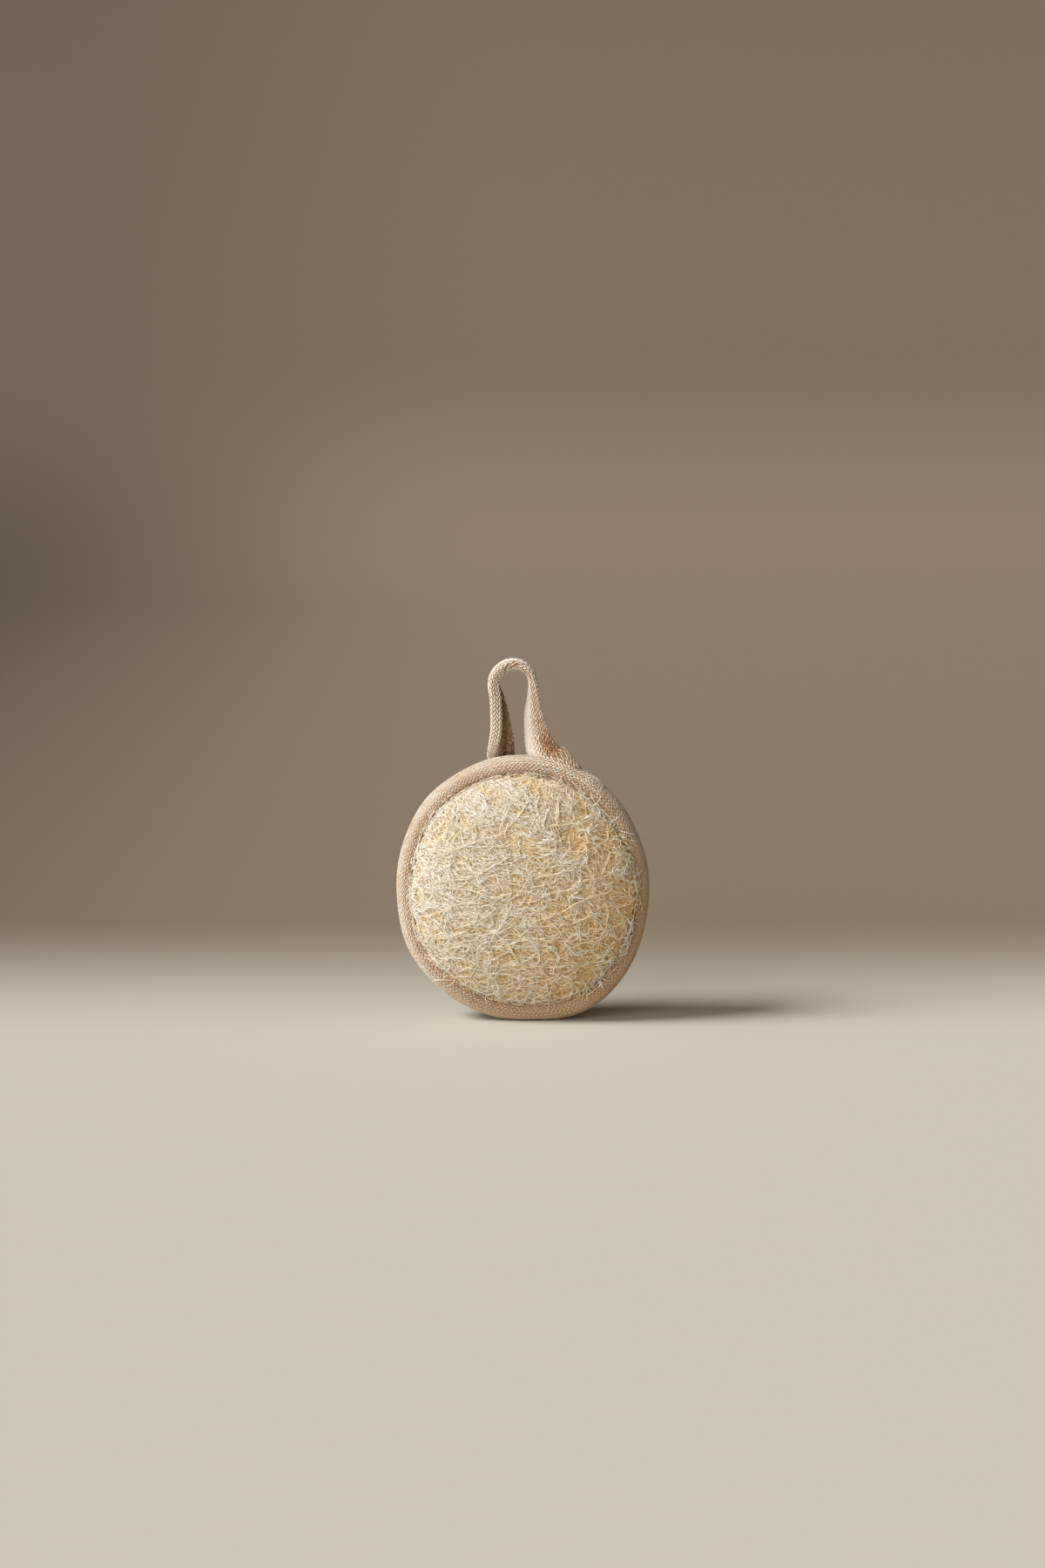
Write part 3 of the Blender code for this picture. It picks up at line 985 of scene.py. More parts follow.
@dataclass
class LoofahFace:
    """One face of the loofah: fibres that wander over its dome and round its open cells."""

    dome: DomeShape
    face: Face
    pitch: float = 0.0004
    reach: float = 0.0580
    cell_spacing: tuple[float, float] = (0.0034, 0.0025)
    cell_half: tuple[float, float, float, float] = (0.0007, 0.0018, 0.0005, 0.0011)
    grain: float = math.radians(-10)
    edge_grain: float = math.radians(-36)
    over_weave: float = 0.0003
    bunch_spread: float = 0.00042
    # The golden side also carries painted shade on the side away from the light.
    golden_shaded_side: GoldenShadedSide = GoldenShadedSide()
    golden_patch: tuple[float, float, float] = (0.027, 0.019, 0.010)
    golden_thinned: float = 0.42
    cell_reach: float = 0.005
    seed: int = 5
    _maps: dict[str, Array] = field(default_factory=dict)

    def __post_init__(self) -> None:
        """Lays out the maps of height, slope and cells that the fibres are steered by."""
        count = 2 * round(self.reach / self.pitch) + 1
        line = (np.arange(count) - count // 2) * self.pitch
        x, z = np.meshgrid(line, line, indexing="ij")
        self._maps["height"] = self._height(np.arctan2(z, x), np.hypot(x, z))
        cells = self._cells(x, z)
        for name, values in (("height", self._maps["height"]), ("cells", cells)):
            slope = np.gradient(values, self.pitch)
            self._maps[name + "_x"], self._maps[name + "_z"] = slope
        self._maps["cells"] = cells

    def _height(self, angle: Array, radius: Array) -> Array:
        """How far from the middle plane the dome lies, or past its foot the tape's weave."""
        foot, _ = self.dome.foot(angle)
        rim = self.dome.rim
        tape = rim.tape_height(angle, rim.outline(angle) - radius)
        over = tape + self.dome.over_tape + self.over_weave
        return np.where(radius > foot, over, self.dome.height(angle, radius))

    def _golden(self, x: Array, z: Array) -> Array:
        """How golden and open the net is, from 0 where it is bleached and dense to 1; where it
        deepens the tone it is partly painted shade.
        """
        along = self.golden_shaded_side.along(x, z)
        at_x, at_z, spread = self.golden_patch
        patch = np.exp(-((x - at_x) ** 2 + (z - at_z) ** 2) / spread**2)
        return np.clip(0.5 + 0.6 * along + 0.4 * patch, 0.0, 1.0)

    def _cells(self, x: Array, z: Array) -> Array:
        """A map that rises to 1 in the middle of each open cell of the net."""
        rng = np.random.default_rng(self.seed + 10 * (self.face is Face.BACK))
        wide, high = self.cell_spacing
        found = np.zeros_like(x)
        for i, cx in enumerate(np.arange(-0.050, 0.050, wide)):
            for cz in np.arange(-0.054, 0.054, high):
                px = cx + (0.5 * wide if i % 2 else 0.0) + rng.uniform(-0.4, 0.4) * wide
                pz = cz + rng.uniform(-0.4, 0.4) * high
                half_wide = rng.uniform(*self.cell_half[:2])
                half_high = rng.uniform(*self.cell_half[2:])
                tilt = rng.normal(0, 0.35)
                strength = rng.uniform(0.3, 1.0) * (0.22 + 0.78 * self._golden(px, pz))
                near = np.s_[
                    self._index(px - self.cell_reach) : self._index(px + self.cell_reach),
                    self._index(pz - self.cell_reach) : self._index(pz + self.cell_reach),
                ]
                dx, dz = x[near] - px, z[near] - pz
                along = dx * math.cos(tilt) + dz * math.sin(tilt)
                over = dz * math.cos(tilt) - dx * math.sin(tilt)
                round_it = (along / half_wide) ** 2 + (over / half_high) ** 2
                found[near] = np.maximum(found[near], strength * np.exp(-round_it))
        return found

    def _index(self, at: float) -> int:
        """The map's row for a place in metres."""
        return max(0, round((at + self.reach) / self.pitch))

    def _read(self, name: str, places: Array) -> Array:
        """Reads a map at places of shape (..., 2)."""
        at = (places + self.reach) / self.pitch
        last = self._maps[name].shape[0] - 2
        low = np.clip(at.astype(int), 0, last)
        part = np.clip(at - low, 0, 1)
        i, j, u, v = low[..., 0], low[..., 1], part[..., 0], part[..., 1]
        values = self._maps[name]
        near = values[i, j] * (1 - u) + values[i + 1, j] * u
        far = values[i, j + 1] * (1 - u) + values[i + 1, j + 1] * u
        return near * (1 - v) + far * v

    def _kept_inside(self, places: Array, limit: Array | float = 1.0) -> Array:
        """Places drawn back to a share of the way to the dome's foot where they lie beyond it."""
        angle = np.arctan2(places[..., 1], places[..., 0])
        foot, _ = self.dome.foot(angle)
        radius = np.hypot(places[..., 0], places[..., 1])
        share = np.minimum(1.0, limit * foot / np.maximum(radius, 1e-9))
        return places * share[..., None]

    def _starts(self, rng: np.random.Generator, count: int) -> Array:
        """Places spread over the dome's own surface, closer together where the net is dense."""
        tried = 12 * count
        angle = rng.uniform(0, FULL_TURN, tried)
        share = np.sqrt(rng.uniform(0, 1, tried))
        foot, _ = self.dome.foot(angle)
        radius = share * foot
        places = np.stack([radius * np.cos(angle), radius * np.sin(angle)], -1)
        slope = np.hypot(self._read("height_x", places), self._read("height_z", places))
        weight = np.minimum(np.sqrt(1 + slope**2), 3.0)
        weight = weight * (1 - self.golden_thinned * self._golden(places[:, 0], places[:, 1]))
        chosen = rng.uniform(0, 3.0, tried) < weight
        return places[chosen][:count]

    def _grain_at(self, places: Array) -> Array:
        """The way that the fibres tend to run: level low down, slanting at the left and the top."""
        x, z = places[..., 0], places[..., 1]
        left = np.clip((-x + 0.4 * z - 0.004) / 0.030, 0, 1)
        top = np.clip((z + 0.3 * x - 0.010) / 0.035, 0, 1)
        return self.grain + (self.edge_grain - self.grain) * np.maximum(left, top)

    def _walk(self, layer: FibreLayer, rng: np.random.Generator) -> Array:
        """Routes over the face that curl, keep to the grain and go round the cells.

        Args:
            layer: The layer's sizes.
            rng: The seeded random numbers.

        Returns:
            The routes, of shape (fibres, points, 2).
        """
        place = np.repeat(self._starts(rng, layer.fibres // layer.bunch), layer.bunch, axis=0)
        count = len(place)

        def shared(own: float) -> Array:
            """Random numbers that a bunch's strands mostly share."""
            common = np.repeat(rng.normal(0, 1, count // layer.bunch), layer.bunch)
            return common + own * rng.normal(0, 1, count)

        limit = 1 + layer.past_foot * (rng.uniform(0, 1, count) ** 2 - 0.4)
        curl = layer.curl * np.exp(0.55 * shared(0.0))
        heading = self._grain_at(place) + layer.stray * shared(0.12)
        heading += np.where(shared(0.0) < 0, math.pi, 0.0)
        place = place + rng.normal(0, self.bunch_spread, place.shape) * (layer.bunch > 1)
        bend = shared(0.2) * curl
        route = [place]
        for _ in range(layer.rings + 1):
            bend = 0.80 * bend + 0.60 * shared(0.35) * curl
            off = turn_between(self._grain_at(place), heading)
            heading = heading + bend * layer.step - layer.hold * np.sin(2 * off)
            way = np.stack([np.cos(heading), np.sin(heading)], -1)
            slope = np.stack([self._read("height_x", place), self._read("height_z", place)], -1)
            rise = (slope * way).sum(-1)
            place = place + way * (layer.step / np.sqrt(1 + np.minimum(rise**2, 9)))[:, None]
            place = self._kept_inside(place, limit)
            route.append(place)
        routes = np.stack(route, 1)
        for _ in range(3):
            gradient = np.stack([self._read("cells_x", routes), self._read("cells_z", routes)], -1)
            routes = routes - layer.push * gradient
        return self._kept_inside(routes, limit[:, None] + 0.01)

    def _raised(self, routes: Array, lift: Array) -> Array:
        """Routes on the face made points on the dome, lifted off it.

        Args:
            routes: Places on the face, of shape (fibres, points, 2).
            lift: How far above the dome each point lies.

        Returns:
            The points, of shape (fibres, points, 3).
        """
        angle = np.arctan2(routes[..., 1], routes[..., 0])
        radius = np.hypot(routes[..., 0], routes[..., 1])
        foot, _ = self.dome.foot(angle)
        height = self._height(angle, radius)
        lift = np.where(radius > foot, np.maximum(lift, 0.0001), lift)
        slope_x, slope_z = self._read("height_x", routes), self._read("height_z", routes)
        length = np.sqrt(1 + np.minimum(slope_x**2 + slope_z**2, 9.0))
        x = routes[..., 0] - np.clip(slope_x, -3, 3) / length * lift
        z = routes[..., 1] - np.clip(slope_z, -3, 3) / length * lift + self.dome.rim.centre_height
        y = self.face.value * (height + lift / length)
        return np.stack([x, y, np.maximum(z, 0.0004)], -1)

    def _strands(
        self, name: str, routes: Array, lift: Array, radii: Array, tones: Array, golden: float
    ) -> bpy.types.Object:
        """Makes strands along routes as one mesh.

        Args:
            name: What the strands are called.
            routes: Places on the face, of shape (strands, points, 2).
            lift: How far above the dome each point lies.
            radii: The strands' radius at each point.
            tones: The strands' tone at each point.
            golden: How much deeper the tone is on the net's golden side, partly as painted shade.

        Returns:
            The new object.
        """
        template = strand_template(routes.shape[1] - 2)
        outward = np.array([0.05, self.face.value, 0.03])
        places = tubes(template, self._raised(routes, lift), radii, outward)
        index = np.rint(template.points[:, 2] * (routes.shape[1] - 1)).astype(int)
        # Deeper tone on the golden side: partly the open net's gold, partly painted shade away from
        # the light.
        tones = tones - golden * self._golden(routes[..., 0], routes[..., 1])
        full_name = f"loofah_{name}_{self.face.name.lower()}"
        return template.copies(full_name, places, np.clip(tones, 0, 1)[:, index])

    def _rng(self, seed: int) -> np.random.Generator:
        """Seeded random numbers, others for each face."""
        return np.random.default_rng(seed + 100 * (self.face is Face.BACK))

    def fibres(self, layer: FibreLayer) -> bpy.types.Object:
        """Makes one layer of fibres as one mesh.

        Args:
            layer: The layer's sizes.

        Returns:
            The new object.
        """
        rng = self._rng(layer.seed)
        routes = self._walk(layer, rng)
        count, points = routes.shape[:2]
        base = rng.uniform(*layer.lift, count)[:, None]
        along = np.arange(points)[None] * layer.step
        beat = FULL_TURN / rng.uniform(0.004, 0.009, count)[:, None]
        lift = base + layer.wave * np.sin(along * beat + rng.uniform(0, FULL_TURN, count)[:, None])
        thick = rng.uniform(*layer.radius, count)[:, None]
        taper = np.sin(np.linspace(0, math.pi, points)) ** 0.25
        radii = thick * (0.35 + 0.65 * taper)[None] * (1 + 0.18 * np.sin(along * beat * 1.7))
        low, high = layer.tone
        deep = (lift - layer.lift[0]) / (layer.lift[1] - layer.lift[0])
        tones = low + (high - low) * (0.5 * deep + 0.5 * rng.uniform(size=(count, 1)))
        return self._strands(layer.name, routes, lift, radii, tones, layer.golden)

    def bundles(self, plan: RidgeBundles) -> bpy.types.Object:
        """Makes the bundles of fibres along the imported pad's ridges."""
        rng = self._rng(plan.seed)
        routes = self._kept_inside(plan.routes(self.dome.rim, self.face, rng), 1.02)
        count, points = routes.shape[:2]
        share = np.linspace(0, 1, points)[None]
        turns, first = rng.uniform(1, 2.5, (count, 1)), rng.uniform(size=(count, 1))
        swing = np.sin(FULL_TURN * (share * turns + first))
        low, high = plan.lift
        lift = (low + high) / 2 + (high - low) / 2 * swing
        taper = np.sin(math.pi * share) ** 0.25
        radii = rng.uniform(*plan.radius, (count, 1)) * (0.35 + 0.65 * taper)
        tones = rng.uniform(*plan.tone, (count, 1)) + 0.0 * share
        return self._strands("bundles", routes, lift, radii, tones, plan.golden)

    def loose(self, plan: LooseFibres) -> bpy.types.Object:
        """Makes the loose ends, the knots and the frayed edge."""
        rng = self._rng(plan.seed)
        routes = plan.routes(self.dome, self.face, rng)
        count, points = routes.shape[:2]
        share = np.linspace(0, 1, points)[None]
        lift = rng.uniform(*plan.lift, (count, 1)) * (0.2 + 0.8 * np.sin(2.2 * share))
        radii = rng.uniform(*plan.radius, (count, 1)) * (1 - 0.5 * share**2)
        tones = rng.uniform(*plan.tone, (count, 1)) + 0.0 * share
        return self._strands("loose", routes, lift, radii, tones, 0.0)


@dataclass
class LoofahCore:
    """The loofah's closed inner body, which shows golden between the fibres."""

    dome: DomeShape
    sunk: float = 0.0010
    segments: int = 128
    inside_tape: float = 0.00165
    edge_rolls: tuple[float, ...] = (0, 26, 52, 78, 103, 115)
    lip_inset: float = 0.0016
    lip_lift: float = 0.0007
    tape_gap: float = 0.0003
    golden_shaded_side: GoldenShadedSide = GoldenShadedSide()
    pale_tone: float = 0.60
    golden_shade_depth: float = 0.45
    shares: tuple[float, ...] = (
        1.0, 0.985, 0.96, 0.925, 0.88, 0.82, 0.75, 0.67, 0.58, 0.48, 0.37, 0.25, 0.12, 0.0,
    )  # fmt: skip

    def _ring(self, angle: Array, number: int) -> tuple[Array, Array]:
        """Distance from the middle and from the middle plane of one ring, counted from the rim."""
        rim = self.dome.rim
        outline, edge = rim.outline(angle), rim.tape_edge(angle)
        if number < len(self.edge_rolls):
            roll = np.full_like(angle, math.radians(self.edge_rolls[number]))
            spot = rim.point(angle, roll, -self.inside_tape - rim.dent(roll))
            radius = np.hypot(spot[..., 0], spot[..., 2] - rim.centre_height)
            return radius, spot[..., 1]
        number -= len(self.edge_rolls)
        lip = np.minimum(self.dome.foot_inset(angle) + self.lip_inset, edge)
        if number == 0:
            return outline - edge - self.tape_gap, rim.tape_height(angle, edge) + self.lip_lift
        share = self.shares[number - 1]
        radius = (outline - lip) * share
        lowest = rim.tape_height(angle, lip) + self.lip_lift
        height = self.dome.height(angle, radius) - self.sunk
        return radius, np.maximum(height, lowest)

    def build(self) -> bpy.types.Object:
        """Moves a sphere's rings to the core's rings.

        Returns:
            The new object.
        """
        half_rings = len(self.edge_rolls) + len(self.shares)
        deselect_all()
        bpy.ops.mesh.primitive_uv_sphere_add(
            segments=self.segments, ring_count=2 * half_rings, radius=1
        )
        core = taken("loofah_core")
        points = points_of(core)
        angle = np.arctan2(points[:, 1], points[:, 0])
        up = np.arcsin(np.clip(points[:, 2], -1, 1)) / (math.pi / 2) * half_rings
        ring = np.rint(np.abs(up)).astype(int)
        moved = np.zeros_like(points)
        for number in range(half_rings + 1):
            on = ring == number
            radius, across = self._ring(angle[on], number)
            moved[on] = self.dome.rim.from_face(angle[on], radius, np.sign(up[on]) * across)
        move_points(core, moved)
        in_edit_mode(core, lambda: bpy.ops.mesh.normals_make_consistent(inside=False))
        core.data.shade_smooth()
        up = moved[:, 2] - self.dome.rim.centre_height
        # Deeper towards the lower right: partly the open net's gold, partly painted shade away from
        # the light.
        golden = np.clip(0.5 + 0.6 * self.golden_shaded_side.along(moved[:, 0], up), 0, 1)
        store_tone(core, self.pale_tone - self.golden_shade_depth * golden)
        return core


@dataclass
class Loofah:
    """The whole loofah: its core and the fibres of both faces."""

    dome: DomeShape
    layers: tuple[FibreLayer, ...] = (
        FibreLayer("mat", 2130, 6, 0.0014, (0.00013, 0.00021), (-0.0009, -0.0002),
                   0.0002, 220.0, 1.2, 0.02, 0.05e-6, (0.28, 0.84), 0.46, 1, 0.03, 21),
        FibreLayer("net", 2150, 9, 0.00120, (0.00009, 0.00013), (-0.0004, 0.0002),
                   0.0003, 165.0, 0.75, 0.07, 0.26e-6, (0.52, 1.0), 0.38, 2, 0.05, 22),
        FibreLayer("outer", 2000, 9, 0.00122, (0.00009, 0.00014), (-0.0001, 0.0004),
                   0.0003, 150.0, 0.45, 0.10, 0.24e-6, (0.74, 1.26), 0.38, 3, 0.07, 23),
        FibreLayer("top", 560, 9, 0.0011, (0.00010, 0.00014), (0.0003, 0.0008),
                   0.0003, 230.0, 0.65, 0.07, 0.20e-6, (1.0, 1.30), 0.08, 2, 0.06, 25),
    )  # fmt: skip

    def build(self) -> None:
        """Builds and dresses the core and all the fibres."""
        finish = FibreFinish("loofah_fibre").material()
        core = LoofahCore(self.dome).build()
        dress(core, finish, ("loofah_pad",))
        for face in Face:
            side = LoofahFace(self.dome, face)
            for layer in self.layers:
                dress(side.fibres(layer), finish)
            dress(side.bundles(RidgeBundles()), finish)
            dress(side.loose(LooseFibres()), finish)


# ---------------------------------------------------------------- the tape


@dataclass
class RimTape:
    """The herringbone tape rolled over the rim: its cloth and the floats of its weave."""

    rim: RimShape
    thickness: float = 0.0013
    rows: int = 29
    float_spacing: float = 0.00165
    float_length: float = 0.0021
    float_width: float = 0.00060
    float_height: float = 0.00058
    float_bow: float = 0.00022
    float_tone: float = 0.64
    sunk: float = 0.00036
    slant: float = math.radians(28)
    smooth_within: tuple[float, float] = (math.radians(36), math.radians(66))
    # Painted shade where the tape turns in under the fibres.
    edge_shade_within: tuple[float, float] = (math.radians(62), math.radians(98))
    edge_shade: float = 0.30
    # Painted shade: the cloth shows only between the floats and is darker on the roll's sides; over
    # the rim, where the cords lie close, cloth and floats are paler and their painted shade weaker.
    cloth_tone: tuple[float, float] = (0.20, 0.60)
    cover_tone: float = 0.06
    cover_flat: float = 0.45
    cover_slope: float = 0.6
    # Painted shade: a float's tone rises with its height, so its sides are darker.
    float_shade_tone: float = 1000.0
    tone_spread: float = 0.14
    slant_spread: float = 0.06
    place_spread: float = 0.00008
    row_spread: float = 0.00005
    row_margin: float = 0.0006
    middle_radius: float = 0.0470
    seed: int = 31
    cells_across: int = 34
    cells_along: int = 220

    def relief(self, angle: Array, roll: Array) -> Array:
        """Soft unevenness of the cloth, strongest where the tape is gathered near its edges."""
        edge = (np.abs(roll) / self.rim.edge_roll) ** 2
        swell = np.sin(5 * angle + 1.0 + roll) + 0.6 * np.sin(11 * angle + 0.4 - roll)
        pucker = np.sin(34 * angle + 2 * np.sin(7 * angle) + 3 * np.sign(roll))
        return 0.00012 * swell + 0.00016 * edge * pucker

    def cover(self, roll: Array) -> Array:
        """How closely the cords cover the cloth, from 0 on the sides to 1 over the rim."""
        start, end = self.smooth_within
        return 1 - np.clip((np.abs(roll) - start) / (end - start), 0, 1)

    def shade(self, roll: Array) -> Array:
        """Painted shade: how much darker and browner the tape is near the loofah, where it turns in
        under the fibres, as a change of tone.
        """
        start, end = self.edge_shade_within
        return -self.edge_shade * np.clip((np.abs(roll) - start) / (end - start), 0, 1)

    def surface(self, angle: Array, roll: Array, lift: Array | float) -> Array:
        """Points on the dressed tape or lifted off it."""
        outset = self.relief(angle, roll) - self.rim.dent(roll) + lift
        return self.rim.point(angle, roll, outset)

    def cloth(self) -> bpy.types.Object:
        """The cloth under the floats, as a grid that is wrapped over the rim and made thick.

        Returns:
            The new object.
        """
        deselect_all()
        bpy.ops.mesh.primitive_grid_add(
            x_subdivisions=self.cells_across, y_subdivisions=self.cells_along, size=1
        )
        tape = taken("rim_tape")
        points = points_of(tape)
        roll = points[:, 0] * 2 * self.rim.edge_roll
        angle = (points[:, 1] + 0.5) * FULL_TURN
        move_points(tape, self.surface(angle, roll, -self.sunk))
        in_edit_mode(
            tape,
            lambda: bpy.ops.mesh.remove_doubles(threshold=1e-6),
            lambda: bpy.ops.mesh.normals_make_consistent(inside=False),
        )
        points = points_of(tape)
        normals = np.zeros(len(points) * 3)
        tape.data.vertices.foreach_get("normal", normals)
        middle = np.array([0, 0, self.rim.centre_height])
        outer = np.abs(points[:, 1]) < 0.002
        away = ((points - middle) * normals.reshape(-1, 3)).sum(1)[outer].mean()
        applied(tape, "SOLIDIFY", thickness=self.thickness, offset=-1.0 if away > 0 else 1.0)
        tape.data.shade_smooth()
        points = points_of(tape)
        up = points[:, 2] - self.rim.centre_height
        angle = np.arctan2(up, points[:, 0])
        inset = self.rim.outline(angle) - np.hypot(points[:, 0], up)
        roll = np.arccos(np.clip(1 - inset / self.rim.roll_depth(angle), -1, 1))
        # Painted shade between the floats, lighter over the rim.
        low, more = self.cloth_tone
        store_tone(tape, low + more * self.cover(roll))
        return tape

    def laid(
        self, points: Array, length: Array | float, slant: Array
    ) -> tuple[Array, Array, Array, Array]:
        """One float, laid at each slant.

        Args:
            points: The float's own vertices, which run from 0 to 1 along z.
            length: Its length, or a column with the length of each copy.
            slant: The angle of each copy, in radians.

        Returns:
            The distances along and across the tape, the height and the bow of its middle.
        """
        x = (points[None, :, 2] - 0.5) * length
        y = points[None, :, 0] * self.float_width / 2
        up = points[None, :, 1] * self.float_height / 2
        along = x * np.cos(slant)[:, None] - y * np.sin(slant)[:, None]
        across = x * np.sin(slant)[:, None] + y * np.cos(slant)[:, None]
        bow = self.float_bow * (1 - (2 * points[None, :, 2] - 1) ** 2)
        return along, across, up, bow

    def _row_rolls(self) -> tuple[Array, Array]:
        """A table from the distance across the tape to the place round its roll."""
        roll = np.linspace(-self.rim.edge_roll, self.rim.edge_roll, 721)
        line = self.rim.point(np.zeros_like(roll), roll)
        steps = np.linalg.norm(np.diff(line, axis=0), axis=1)
        run = np.concatenate([[0], np.cumsum(steps)])
        return run, roll

    def floats(self) -> bpy.types.Object:
        """The weave's floats: short slanted lengths of yarn, turned the other way in each row.

        Returns:
            The new object.
        """
        rng = np.random.default_rng(self.seed)
        template = spindle_template()
        run, rolls = self._row_rolls()
        row_gap = run[-1] / self.rows
        around = self.middle_radius * FULL_TURN
        count = round(around / self.float_spacing)
        row, step = np.meshgrid(np.arange(self.rows), np.arange(count), indexing="ij")
        row, step = row.ravel(), step.ravel()
        way = np.where(row % 2 == 0, 1.0, -1.0)
        middle_run = (row + 0.5) * row_gap + rng.normal(0, self.row_spread, row.size)
        middle_run = np.clip(middle_run, self.row_margin, run[-1] - self.row_margin)
        middle_along = (step + 0.5 * (row % 2)) * around / count
        middle_along = middle_along + rng.normal(0, self.place_spread, row.size)
        slant = way * (self.slant + rng.normal(0, self.slant_spread, row.size))
        length = self.float_length * rng.uniform(0.9, 1.08, row.size)
        along, across, up, bow = self.laid(template.points, length[:, None], slant)
        at = np.clip(middle_run[:, None] + across, 0, run[-1])
        roll = np.interp(at, run, rolls)
        angle = (middle_along[:, None] + along) / around * FULL_TURN
        flat = 1 - self.cover_flat * self.cover(roll)
        places = self.surface(angle, roll, (up + bow) * flat - self.sunk)
        tones = self.float_tone + self.cover_tone * self.cover(roll) + self.shade(roll)
        # Painted shade on the floats' sides, weaker over the rim.
        slope = self.float_shade_tone * (1 - self.cover_slope * self.cover(roll))
        spread = rng.normal(0, self.tone_spread, row.size)[:, None]
        tones = np.clip(tones + slope * up + spread, 0, 1)
        return template.copies("rim_weave", places, tones)

    def stitches(self, side: int, count: int = 82) -> bpy.types.Object:
        """The stitches of one seam, each a short length of thread that lies in the seam's dent.

        Args:
            side: -1 for the front and 1 for the back.
            count: How many stitches go round.

        Returns:
            The new object.
        """
        template = spindle_template()
        rng = np.random.default_rng(self.seed + side)
        middle = (np.arange(count) + rng.uniform(-0.08, 0.08, count)) / count * FULL_TURN
        half = 0.36 * FULL_TURN / count
        angle = middle[:, None] + (template.points[None, :, 2] - 0.5) * 2 * half
        bow = 1 - (2 * template.points[None, :, 2] - 1) ** 2
        x = template.points[None, :, 0] * 0.00030
        up = template.points[None, :, 1] * 0.00028
        roll = side * self.rim.seam_at + x / self.rim.half_thickness
        roll = np.broadcast_to(roll, angle.shape)
        lift = up + 0.00032 * bow + 0.00005
        places = self.surface(angle, roll, lift)
        tones = np.full(angle.shape, 0.8)
        name = "seam_stitches_front" if side < 0 else "seam_stitches_back"
        return template.copies(name, places, tones)

    def build(self, cloth: bpy.types.Material, yarn: bpy.types.Material) -> None:
        """Builds and dresses the cloth, its weave and both seams.

        Args:
            cloth: The finish of the cloth under the floats.
            yarn: The finish of the floats and stitches.
        """
        dress(self.cloth(), cloth, ("rim_binding",))
        dress(self.floats(), yarn)
        dress(self.stitches(-1), yarn, ("seam_thread_front",))
        dress(self.stitches(1), yarn, ("seam_thread_back",))


@dataclass(frozen=True)
class TapeKey:
    """A place along a run of tape: its middle, the way of its width, its sizes and its curl."""

    middle: tuple[float, float, float]
    across: tuple[float, float, float]
    width: float
    thickness: float
    curl: float = 0.0


@dataclass(frozen=True)
class LoopTones:
    """How much paler, above 0, or deeper, below 0, each part of the folded tape is, mostly as
    painted light or shade.

    Attributes:
        all_over: Everywhere.
        inmost_shade: Painted shade on the rising leg's inner side, turned away from the light.
        arch: The tape at the top of the arch.
        arch_at: Where the arch's top is, as a share of the run.
        arch_span: How far that reaches.
        lit_front_edge: Painted light on the rising leg's front edge, which faces the light.
        groove: Painted shade in the fold's groove.
        creases: Painted shade in the creases of the twist.
        falling: Painted light on the falling leg's side that faces the light, and painted shade the
            other way beyond it.
        foot: The falling leg's foot, which is deeper.
        lit_smooth_edge: Painted light on the smooth turned edge, which faces the light.
    """

    all_over: float = 0.13
    inmost_shade: float = -0.66
    arch: float = -0.28
    arch_at: float = 0.42
    arch_span: float = 0.08
    lit_front_edge: float = 0.25
    groove: float = -0.30
    creases: float = -0.95
    falling: float = 0.34
    foot: float = -0.52
    lit_smooth_edge: float = 0.45


